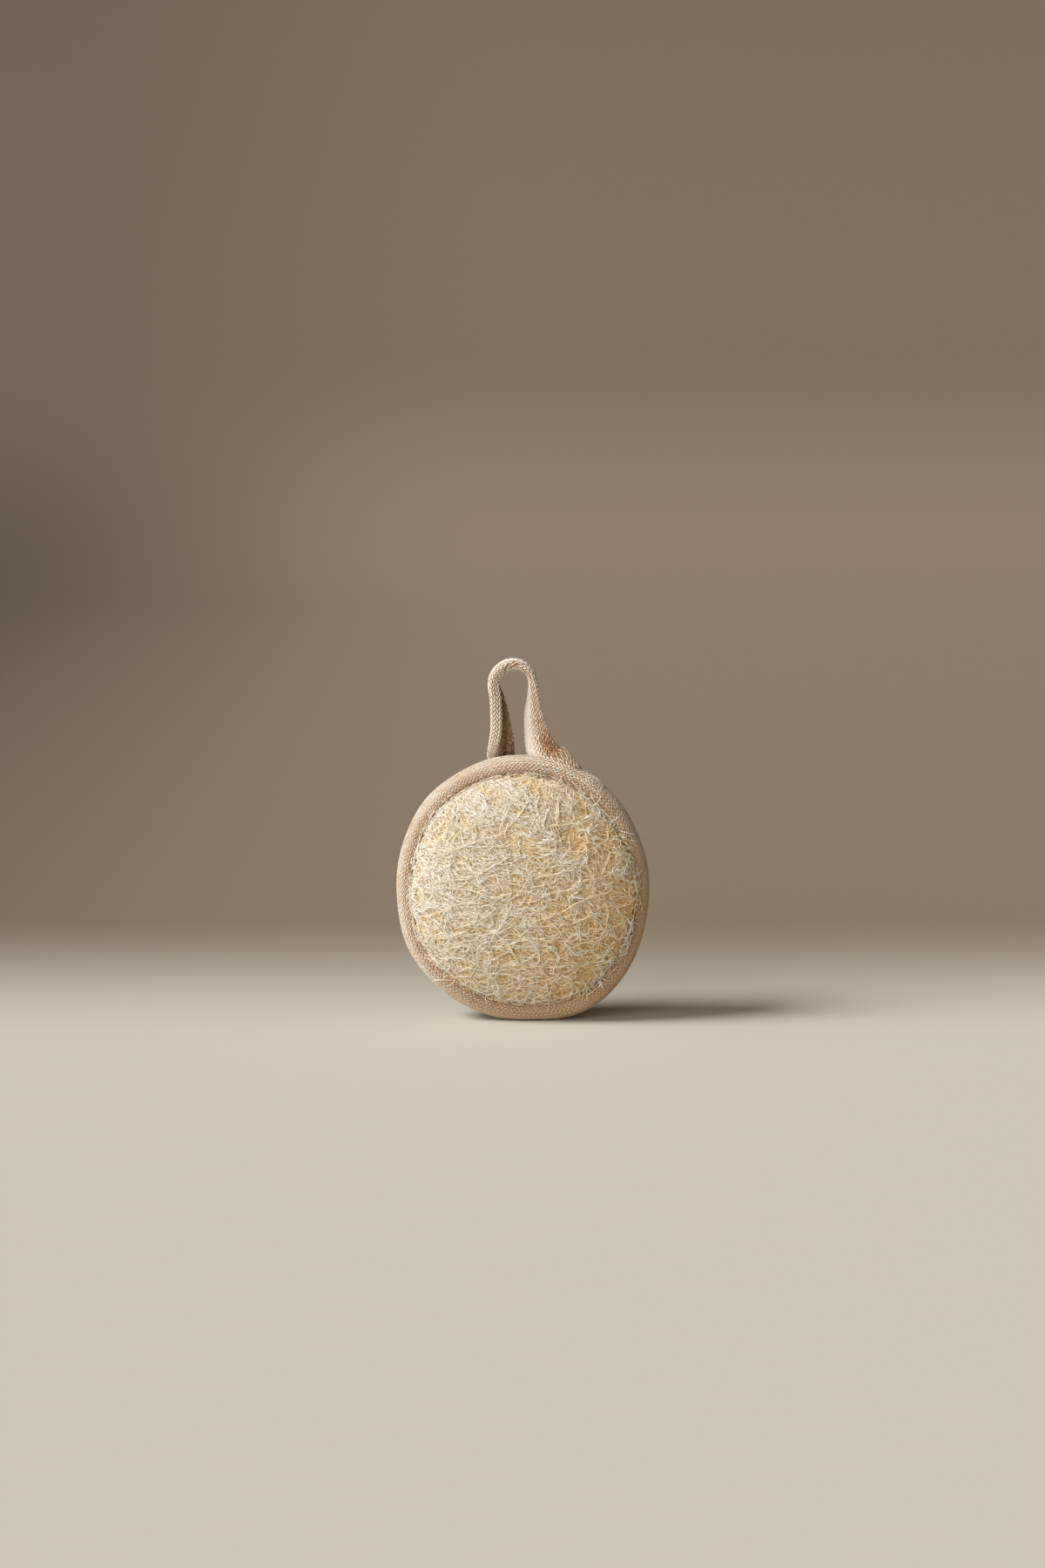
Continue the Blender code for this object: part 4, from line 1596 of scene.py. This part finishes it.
@dataclass
class FoldedTape:
    """A run of folded tape through its keys, with its cloth and the floats of its weave.

    Attributes:
        name: What the run is called.
        keys: The places that it runs through.
        rim: The rim that it lies on.
        kept_clear: The share of its run, from its start, that is held off the rim.
        zones: The shares of its run between which its rows of floats keep the same number.
        row_gap: The distance between its rows.
        fold_groove: How deep the fold's lengthwise groove is on the inner side.
        fold_place: Where the groove lies, as a share of the width.
        fold_spread: How wide the groove is, as a share of the width.
        twist_at: Where the tape is twisted, as a share of its run.
        twist_span: How far the twist reaches, as a share of its run.
        twist_depth: How deep the twist's creases are.
        front_roll: How far the rising leg's front edge bulges inwards.
        smooth_from: Where its smooth turned edge begins, as a share of its run.
        smooth_flat: How much flatter the floats are on that edge.
        smooth_slope: How much weaker the painted shade on the floats' sides is there.
        rising_until: Where the rising leg ends, as a share of its run.
        tones: How much paler or deeper its parts are, mostly as painted light and shade.
        cloth_tone: The cloth's tone, painted shade between the floats, and what the parts' tones
            and the smooth edge's painted light add to it.
        clearance: How far it is held off the rim.
        hug_radius: The radius of the rim's roll, which a curled key follows.
        stations: How many sections its tables hold.
        seed: Its own seed.
    """

    name: str
    keys: tuple[TapeKey, ...]
    rim: RimShape
    kept_clear: float = 0.0
    zones: tuple[float, ...] = (0.0, 1.0)
    row_gap: float = 0.00108
    fold_groove: float = 0.0
    fold_place: float = 0.14
    fold_spread: float = 0.09
    twist_at: float = 0.0
    twist_span: float = 0.032
    twist_depth: float = 0.0
    front_roll: float = 0.0
    smooth_from: float = 1.0
    smooth_flat: float = 0.5
    smooth_slope: float = 0.7
    rising_until: float = 0.56
    tones: LoopTones = LoopTones()
    cloth_tone: tuple[float, float, float] = (0.20, 0.40, 0.50)
    clearance: float = 0.00055
    hug_radius: float = 0.0125
    stations: int = 400
    seed: int = 41
    _frames: dict[str, Array] = field(default_factory=dict)

    def __post_init__(self) -> None:
        """Works out the tape's middle line, ways and sizes at many stations."""
        rows = np.array([(*k.middle, *k.across, k.width, k.thickness, k.curl) for k in self.keys])
        at = np.linspace(0, len(rows) - 1, self.stations)
        i = np.minimum(at.astype(int), len(rows) - 2)
        s = (at - i)[:, None]
        before, a = rows[np.maximum(i - 1, 0)], rows[i]
        b, after = rows[i + 1], rows[np.minimum(i + 2, len(rows) - 1)]
        rise, fall = (b - before) / 2, (after - a) / 2
        smooth = (
            a * (2 * s**3 - 3 * s**2 + 1)
            + rise * (s**3 - 2 * s**2 + s)
            + b * (3 * s**2 - 2 * s**3)
            + fall * (s**3 - s**2)
        )
        middle, across = smooth[:, :3], smooth[:, 3:6]
        tangent = np.gradient(middle, axis=0)
        tangent /= np.linalg.norm(tangent, axis=1, keepdims=True)
        across = across - tangent * (across * tangent).sum(1, keepdims=True)
        across /= np.linalg.norm(across, axis=1, keepdims=True)
        steps = np.linalg.norm(np.diff(middle, axis=0), axis=1)
        self._frames = {
            "place": np.linspace(0, 1, self.stations),
            "run": np.concatenate([[0], np.cumsum(steps)]),
            "middle": middle,
            "across": across,
            "outward": np.cross(tangent, across),
            "sizes": smooth[:, 6:9],
        }

    def _frame(self, name: str, place: Array) -> Array:
        """Reads one of the run's tables at places from 0 to 1 along it."""
        table = self._frames[name]
        at = np.clip(place, 0, 1) * (self.stations - 1)
        low = np.minimum(at.astype(int), self.stations - 2)
        part = (at - low)[..., None]
        return table[low] * (1 - part) + table[low + 1] * part

    def _clear_of_rim(self, points: Array) -> Array:
        """Points moved straight outwards to where they just clear the tape's roll."""
        up = points[..., 2] - self.rim.centre_height
        angle, radius = np.arctan2(up, points[..., 0]), np.hypot(points[..., 0], up)
        reach = self.rim.half_thickness + self.clearance
        inside = np.abs(points[..., 1]) < reach
        roll = np.arcsin(np.clip(points[..., 1] / reach, -1, 1))
        depth = self.rim.roll_depth(angle)
        surface = self.rim.outline(angle) - depth + (depth + self.clearance) * np.cos(roll)
        moved = self.rim.from_face(angle, surface, points[..., 1])
        return np.where((inside & (radius < surface))[..., None], moved, points)

    def _section(self, around: Array) -> tuple[Array, Array, Array]:
        """A place round the section, as shares of its width and depth, and how far in it faces."""
        c, s = np.cos(FULL_TURN * around), np.sin(FULL_TURN * around)
        x = np.sign(c) * np.abs(c) ** 0.85 / 2
        n = np.sign(s) * np.abs(s) ** 0.90 / 2
        return x, n, np.clip(-1.6 * s, 0, 1)

    def _groove(self, around: Array) -> Array:
        """The fold's groove, from 0 to 1."""
        x, _, inner = self._section(around)
        return inner * np.exp(-(((x - self.fold_place) / self.fold_spread) ** 2))

    def _creases(self, around: Array, place: Array) -> Array:
        """The slanting creases where the tape is twisted, from 0 to 1."""
        along = (place - self.twist_at) / self.twist_span
        found = np.zeros(np.broadcast(around, place).shape)
        for shift in (-0.45, 0.45):
            off = (around - 0.5 + 0.15 * (along - shift)) / 0.030
            found = found + np.exp(-(off**2)) * np.exp(-((along - shift) ** 2))
        return np.clip(found, 0, 1)

    def _smooth_edge(self, around: Array, place: Array) -> Array:
        """The smooth turned edge beyond the fold, from 0 to 1."""
        x, _, inner = self._section(around)
        beyond = np.clip((x - self.fold_place - 0.02) / 0.05, 0, 1) * np.clip(inner * 2, 0, 1)
        begun = np.clip((place - self.smooth_from) / 0.04, 0, 1)
        return beyond * begun * np.clip((0.90 - place) / 0.05, 0, 1)

    def tone(self, around: Array, place: Array) -> Array:
        """How much paler or deeper the tape is than on the rim, at places on it, mostly as painted
        light and shade.
        """
        if not self.fold_groove:
            return np.zeros(np.broadcast(around, place).shape)
        x, _, inner = self._section(around)
        rising = np.clip((self.rising_until - place) / 0.08, 0, 1)
        falling = (1 - rising) * inner
        inmost_shade = inner * np.clip((x + 0.28) / 0.16, 0, 1)
        foot = np.clip((place - 0.72) / 0.12, 0, 1) * np.clip((0.12 - x) / 0.30, 0, 1)
        tones = self.tones
        # Painted shade on the inner side, in the groove and in the creases; painted light on the
        # front edge, the falling leg's lit side and the smooth edge.
        return (
            tones.all_over
            + tones.inmost_shade * inmost_shade * rising
            + tones.arch * np.exp(-(((place - tones.arch_at) / tones.arch_span) ** 2))
            + tones.lit_front_edge * (1 - np.clip((x + 0.26) / 0.16, 0, 1)) * rising
            + tones.groove * self._groove(around) * rising
            + tones.creases * self._creases(around, place)
            + tones.falling * falling * np.clip(x / 0.2 + 0.9, -0.8, 1)
            + tones.foot * foot * np.clip((0.97 - place) / 0.06, 0, 1)
            + tones.lit_smooth_edge * self._smooth_edge(around, place)
        )

    def surface(self, around: Array, place: Array, lift: Array | float = 0.0) -> Array:
        """Points on the folded tape or lifted off it.

        Args:
            around: Place round the section, from 0 to 1.
            place: Place along the run, from 0 to 1.
            lift: Distance outwards from the tape.

        Returns:
            The points, one in each row.
        """
        width, thickness, curl = np.moveaxis(self._frame("sizes", place), -1, 0)
        lift = lift - self.twist_depth * self._creases(around, place)
        x_share, n_share, _ = self._section(around)
        x = x_share * (width + 2 * lift)
        n = n_share * (thickness + 2 * lift) + self.fold_groove * self._groove(around)
        rising = np.clip((self.rising_until - place) / 0.10, 0, 1)
        rising = rising * np.clip((place - 0.12) / 0.08, 0, 1)
        bulge = np.exp(-(((x_share + 0.30) / 0.14) ** 2)) * np.clip(-2 * n_share, 0, 1)
        n = n - self.front_roll * bulge * rising
        radius = self.hug_radius / np.maximum(curl, 0.01)
        bent_x = (radius + n) * np.sin(x / radius)
        bent_n = (radius + n) * np.cos(x / radius) - radius
        x, n = np.where(curl < 0.01, x, bent_x), np.where(curl < 0.01, n, bent_n)
        middle, across = self._frame("middle", place), self._frame("across", place)
        outward = self._frame("outward", place)
        points = middle + across * x[..., None] + outward * n[..., None]
        held = (np.broadcast_to(place, x.shape) < self.kept_clear)[..., None]
        return np.where(held, self._clear_of_rim(points), points)

    def cloth(self, sunk: float, around: int = 46, along: int = 180) -> bpy.types.Object:
        """The folded cloth under the floats, closed at both ends.

        Args:
            sunk: How far the cloth lies under the tape's outer side.
            around: How many cells go round its section.
            along: How many cells go along it.

        Returns:
            The new object.
        """
        deselect_all()
        bpy.ops.mesh.primitive_grid_add(x_subdivisions=around, y_subdivisions=along, size=1)
        loop = taken(f"{self.name}_tape")
        points = points_of(loop)
        turn, place = points[:, 0] + 0.5, points[:, 1] + 0.5
        smooth = self._smooth_edge(turn, place)
        # The parts' tones, mostly painted light and shade, and painted light on the smooth edge.
        low, parts, edge = self.cloth_tone
        store_tone(loop, low + parts * self.tone(turn, place) + edge * smooth)
        move_points(loop, self.surface(turn, place, -sunk))

        def close_ends() -> None:
            """Welds the seam and fills both open ends."""
            bpy.ops.mesh.remove_doubles(threshold=1e-6)
            bpy.ops.mesh.select_all(action="DESELECT")
            bpy.ops.mesh.select_mode(type="EDGE")
            bpy.ops.mesh.select_non_manifold(use_multi_face=False)
            bpy.ops.mesh.fill()
            bpy.ops.mesh.select_mode(type="VERT")
            bpy.ops.mesh.select_all(action="SELECT")
            bpy.ops.mesh.normals_make_consistent(inside=False)

        in_edit_mode(loop, close_ends)
        loop.data.shade_smooth()
        return loop

    def floats(self, tape: RimTape) -> bpy.types.Object:
        """The weave's floats over the whole run.

        Args:
            tape: The rim's tape, whose float sizes the run shares.

        Returns:
            The new object.
        """
        rng = np.random.default_rng(self.seed)
        template = spindle_template()
        found = [
            self._zone(tape, template, rng, start, end)
            for start, end in zip(self.zones[:-1], self.zones[1:])
        ]
        places, tones = (np.concatenate(part) for part in zip(*found))
        return template.copies(f"{self.name}_weave", places, tones)

    def _zone(
        self, tape: RimTape, template: Template, rng: np.random.Generator, start: float, end: float
    ) -> tuple[Array, Array]:
        """The floats between two shares of the run, whose rows fit the section between them.

        Args:
            tape: The rim's tape.
            template: The float.
            rng: The seeded random numbers.
            start: Where the zone starts, as a share of the run.
            end: Where it ends.

        Returns:
            The floats' vertices and their tones.
        """
        turns = np.linspace(0, 1, 721)
        section = self.surface(turns, np.full_like(turns, (start + end) / 2))
        run = np.linalg.norm(np.diff(section, axis=0), axis=1)
        run = np.concatenate([[0], np.cumsum(run)])
        rows = 2 * round(run[-1] / self.row_gap / 2)
        length = self._frames["run"][-1]
        count = round(length / tape.float_spacing)
        row, step = np.meshgrid(np.arange(rows), np.arange(count), indexing="ij")
        row, step = row.ravel(), step.ravel()
        middle_run = (row + 0.5) * run[-1] / rows
        middle_along = (step + 0.5 + 0.5 * (row % 2)) * length / (count + 1)
        at_place = np.interp(middle_along, self._frames["run"], self._frames["place"])
        shown = (at_place >= start) & (at_place < end)
        row, middle_run, middle_along = row[shown], middle_run[shown], middle_along[shown]
        middle_along = middle_along + rng.normal(0, tape.place_spread, row.size)
        way = np.where(row % 2 == 0, 1.0, -1.0)
        slant = way * (tape.slant + rng.normal(0, tape.slant_spread, row.size))
        along, across, up, bow = tape.laid(template.points, tape.float_length, slant)
        around = np.interp((middle_run[:, None] + across) % run[-1], run, turns)
        at = np.clip(middle_along[:, None] + along, 0.0002, length - 0.0002)
        place = np.interp(at, self._frames["run"], self._frames["place"])
        smooth = self._smooth_edge(around, place)
        lift = (up + bow) * (1 - self.smooth_flat * smooth) - tape.sunk
        places = self.surface(around, place, lift)
        # Painted shade on the floats' sides, weaker on the smooth edge.
        tones = tape.float_tone + tape.float_shade_tone * (1 - self.smooth_slope * smooth) * up
        spread = rng.normal(0, tape.tone_spread, row.size)[:, None]
        tones = tones + spread + self.tone(around, place)
        return places, np.clip(tones, 0, 1)


@dataclass
class HangingLoop:
    """The tape folded in three that rises behind the rim, arches over and ends along it."""

    rim: RimShape
    width: float = 0.0110
    thickness: float = 0.0036
    arch_radius: float = 0.0077
    arch_x: float = -0.0037
    arch_z: float = 0.1336
    clearance: float = 0.00055
    back_angle: float = math.radians(99.3)

    @staticmethod
    def _turned(degrees: float) -> tuple[float, float, float]:
        """The way across the tape where it hangs free, turned about the upright."""
        turn = math.radians(degrees)
        return (math.sin(turn), math.cos(turn), 0.0)

    def _on_rim(self, angle: float, roll: float, outset: float) -> tuple[float, float, float]:
        """A point over the rim's tape."""
        return tuple(self.rim.point(np.array(angle), np.array(roll), outset))

    def _loop(self) -> FoldedTape:
        """The loop, whose right leg widens at its foot and runs into the rim."""
        keys = []
        along_rim = (math.sin(self.back_angle), 0.0, -math.cos(self.back_angle))
        for roll, thickness in ((84, 0.0022), (66, 0.0026), (48, 0.0030)):
            outset = self.clearance + thickness / 2
            middle = self._on_rim(self.back_angle, math.radians(roll), outset)
            keys.append(TapeKey(middle, along_rim, self.width, thickness))
        for x, y, z, turn in (
            (-0.0084, 0.0050, 0.1075, 72),
            (-0.0084, 0.0024, 0.1115, 56),
            (-0.0086, 0.0008, 0.1162, 42),
            (-0.0091, 0.0001, 0.1218, 34),
            (-0.0100, 0.0000, 0.1275, 23),
        ):
            keys.append(TapeKey((x, y, z), self._turned(turn), self.width, self.thickness))
        for degrees, turn in ((180, 11), (143, 7), (106, 3), (69, 0), (32, -4), (0, -8)):
            angle = math.radians(degrees)
            x = self.arch_x + self.arch_radius * math.cos(angle)
            z = self.arch_z + self.arch_radius * math.sin(angle)
            keys.append(TapeKey((x, 0.0, z), self._turned(turn), self.width, self.thickness))
        for x, z, turn, width, thickness in (
            (0.0042, 0.1272, -21, 0.0110, 0.0036),
            (0.0043, 0.1212, -38, 0.0113, 0.0036),
            (0.0051, 0.1156, -50, 0.0118, 0.0037),
            (0.0062, 0.1110, -60, 0.0127, 0.0042),
            (0.0073, 0.1075, -68, 0.0132, 0.0052),
            (0.0088, 0.1045, -74, 0.0150, 0.0072),
            (0.0106, 0.1018, -78, 0.0186, 0.0100),
            (0.0124, 0.0965, -80, 0.0236, 0.0120),
        ):
            keys.append(TapeKey((x, 0.0, z), self._turned(turn), width, thickness))
        return FoldedTape(
            "hanging_loop", tuple(keys), self.rim, kept_clear=0.45,
            zones=(0.0, 0.80, 0.88, 0.94, 1.0), fold_groove=0.0007, twist_at=0.495,
            twist_depth=0.0008, smooth_from=0.57, front_roll=0.0016,
        )  # fmt: skip

    def _lap(self) -> FoldedTape:
        """The tape's end, laid along the rim beyond the loop's foot and sunk in flush."""
        keys = []
        for degrees, outset, width in (
            (84, -0.0002, 0.0150),
            (77, 0.0000, 0.0165),
            (70, -0.0001, 0.0174),
            (63, -0.0003, 0.0180),
            (56, -0.0004, 0.0184),
            (50, -0.0010, 0.0184),
        ):
            middle = self._on_rim(math.radians(degrees), 0.0, outset)
            keys.append(TapeKey(middle, (0.0, 1.0, 0.0), width, 0.0016, 1.0))
        return FoldedTape("loop_end", tuple(keys), self.rim, seed=43)

    def build(self, cloth: bpy.types.Material, yarn: bpy.types.Material, tape: RimTape) -> None:
        """Builds and dresses the loop and its end.

        Args:
            cloth: The finish of the cloth under the floats.
            yarn: The finish of the floats.
            tape: The rim's tape, whose weave the loop shares.
        """
        for run, cells, replaced in (
            (self._loop(), (46, 180), ("hanging_loop",)),
            (self._lap(), (40, 30), ()),
        ):
            dress(run.cloth(tape.sunk, *cells), cloth, replaced)
            dress(run.floats(tape), yarn)


# ---------------------------------------------------------------- the studio


@dataclass(frozen=True)
class SoftLight:
    """A soft, even light.

    Attributes:
        name: The light's name.
        way: The direction from the sponge to the light.
        power: Its strength square on, where a white surface reads 1 at pi.
        spread: How wide it is seen from the sponge, in radians.
        colour: Its colour.
    """

    name: str
    way: tuple[float, float, float]
    power: float
    spread: float
    colour: Colour

    def build(self) -> None:
        """Adds the light, aimed at the sponge."""
        bpy.ops.object.light_add(type="SUN", location=Vector(self.way) * 2)
        light = bpy.context.object
        light.name = self.name
        light.rotation_euler = (-Vector(self.way)).to_track_quat("-Z", "Y").to_euler()
        light.data.energy = self.power
        light.data.angle = self.spread
        light.data.color = self.colour


@dataclass
class Studio:
    """The camera, the pale floor that curves up into a wall, and soft light from the left."""

    aim: tuple[float, float, float] = (0.0, 0.0, 0.0935)
    distance: float = 1.372
    elevation: float = math.radians(7.2)
    lens: float = 80.0
    half_span: float = 7.0
    curve_start: float = 2.2
    curve_radius: float = 1.6
    wall_top: float = 5.0
    curve_steps: int = 16
    key: SoftLight = SoftLight("key_light", (-0.70, -0.20, 0.68), 3.8, 0.42, (1.0, 0.975, 0.94))
    fill: SoftLight = SoftLight("fill_light", (-0.58, -0.78, 0.21), 2.3, 0.9, (1.0, 0.93, 0.84))
    room_colour: tuple[float, float, float, float] = (1.0, 0.66, 0.40, 1.0)
    room_strength: float = 0.12

    def camera(self) -> None:
        """Makes the camera, which looks at the sponge's face from a little above."""
        back = Vector((0, -math.cos(self.elevation), math.sin(self.elevation)))
        bpy.ops.object.camera_add(location=Vector(self.aim) + back * self.distance)
        camera = bpy.context.object
        camera.name = "camera"
        camera.rotation_euler = (-back).to_track_quat("-Z", "Y").to_euler()
        camera.data.sensor_width = 36.0
        camera.data.lens = self.lens
        camera.data.clip_start, camera.data.clip_end = 0.01, 100.0
        bpy.context.scene.camera = camera

    def floor(self) -> None:
        """Makes the floor and wall as one sheet: a plane whose far edge is extruded in a curve."""
        deselect_all()
        start, span = self.curve_start, self.half_span
        bpy.ops.mesh.primitive_plane_add(size=2)
        stage = taken("studio_floor")
        points = points_of(stage)
        points[:, 0] *= span
        points[:, 1] = np.where(points[:, 1] > 0, start, -span)
        move_points(stage, points)
        for vertex in stage.data.vertices:
            vertex.select = vertex.co.y > 0
        for edge in stage.data.edges:
            edge.select = all(stage.data.vertices[i].co.y > 0 for i in edge.vertices)
        for polygon in stage.data.polygons:
            polygon.select = False
        bpy.ops.object.mode_set(mode="EDIT")
        bpy.ops.mesh.select_mode(type="EDGE")
        for i in range(self.curve_steps):
            a, b = (math.pi / 2 * (i + k) / self.curve_steps for k in (0, 1))
            move = (
                0,
                self.curve_radius * (math.sin(b) - math.sin(a)),
                self.curve_radius * (math.cos(a) - math.cos(b)),
            )
            bpy.ops.mesh.extrude_region_move(TRANSFORM_OT_translate={"value": move})
        bpy.ops.mesh.extrude_region_move(
            TRANSFORM_OT_translate={"value": (0, 0, self.wall_top - self.curve_radius)}
        )
        bpy.ops.mesh.select_mode(type="VERT")
        bpy.ops.object.mode_set(mode="OBJECT")
        stage.data.shade_smooth()
        stage.data.materials.append(StageFinish("studio_paper").material())

    def lights(self) -> None:
        """Makes the key light, a low fill from the front left and the room's own warm light."""
        self.key.build()
        self.fill.build()
        world = bpy.data.worlds.new("room")
        world.use_nodes = True
        background = world.node_tree.nodes["Background"]
        background.inputs["Color"].default_value = self.room_colour
        background.inputs["Strength"].default_value = self.room_strength
        bpy.context.scene.world = world

    def build(self) -> None:
        """Sets up the whole studio."""
        self.camera()
        self.floor()
        self.lights()
        bpy.context.scene.view_settings.view_transform = "Standard"
        LOG.info("studio: camera at %.2f m, key light from the left", self.distance)


def corners(box: tuple[Vector, Vector]) -> list[list[float]]:
    """A box's two corners as plain lists."""
    return [list(map(float, corner)) for corner in box]


def main() -> None:
    """Builds the studio and every piece of the sponge."""
    logging.basicConfig(level=logging.INFO, format="%(name)s: %(message)s")
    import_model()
    deselect_all()
    Studio().build()
    rim = RimShape()
    Loofah(DomeShape(rim)).build()
    cloth = YarnFinish("tape_cloth").material()
    yarn = YarnFinish("tape_yarn").material()
    tape = RimTape(rim)
    tape.build(cloth, yarn)
    loop_yarn = YarnFinish("loop_yarn", crest=(0.85, 0.81, 0.74)).material()
    HangingLoop(rim).build(loop_yarn, loop_yarn, tape)


if __name__ == "__main__":
    main()
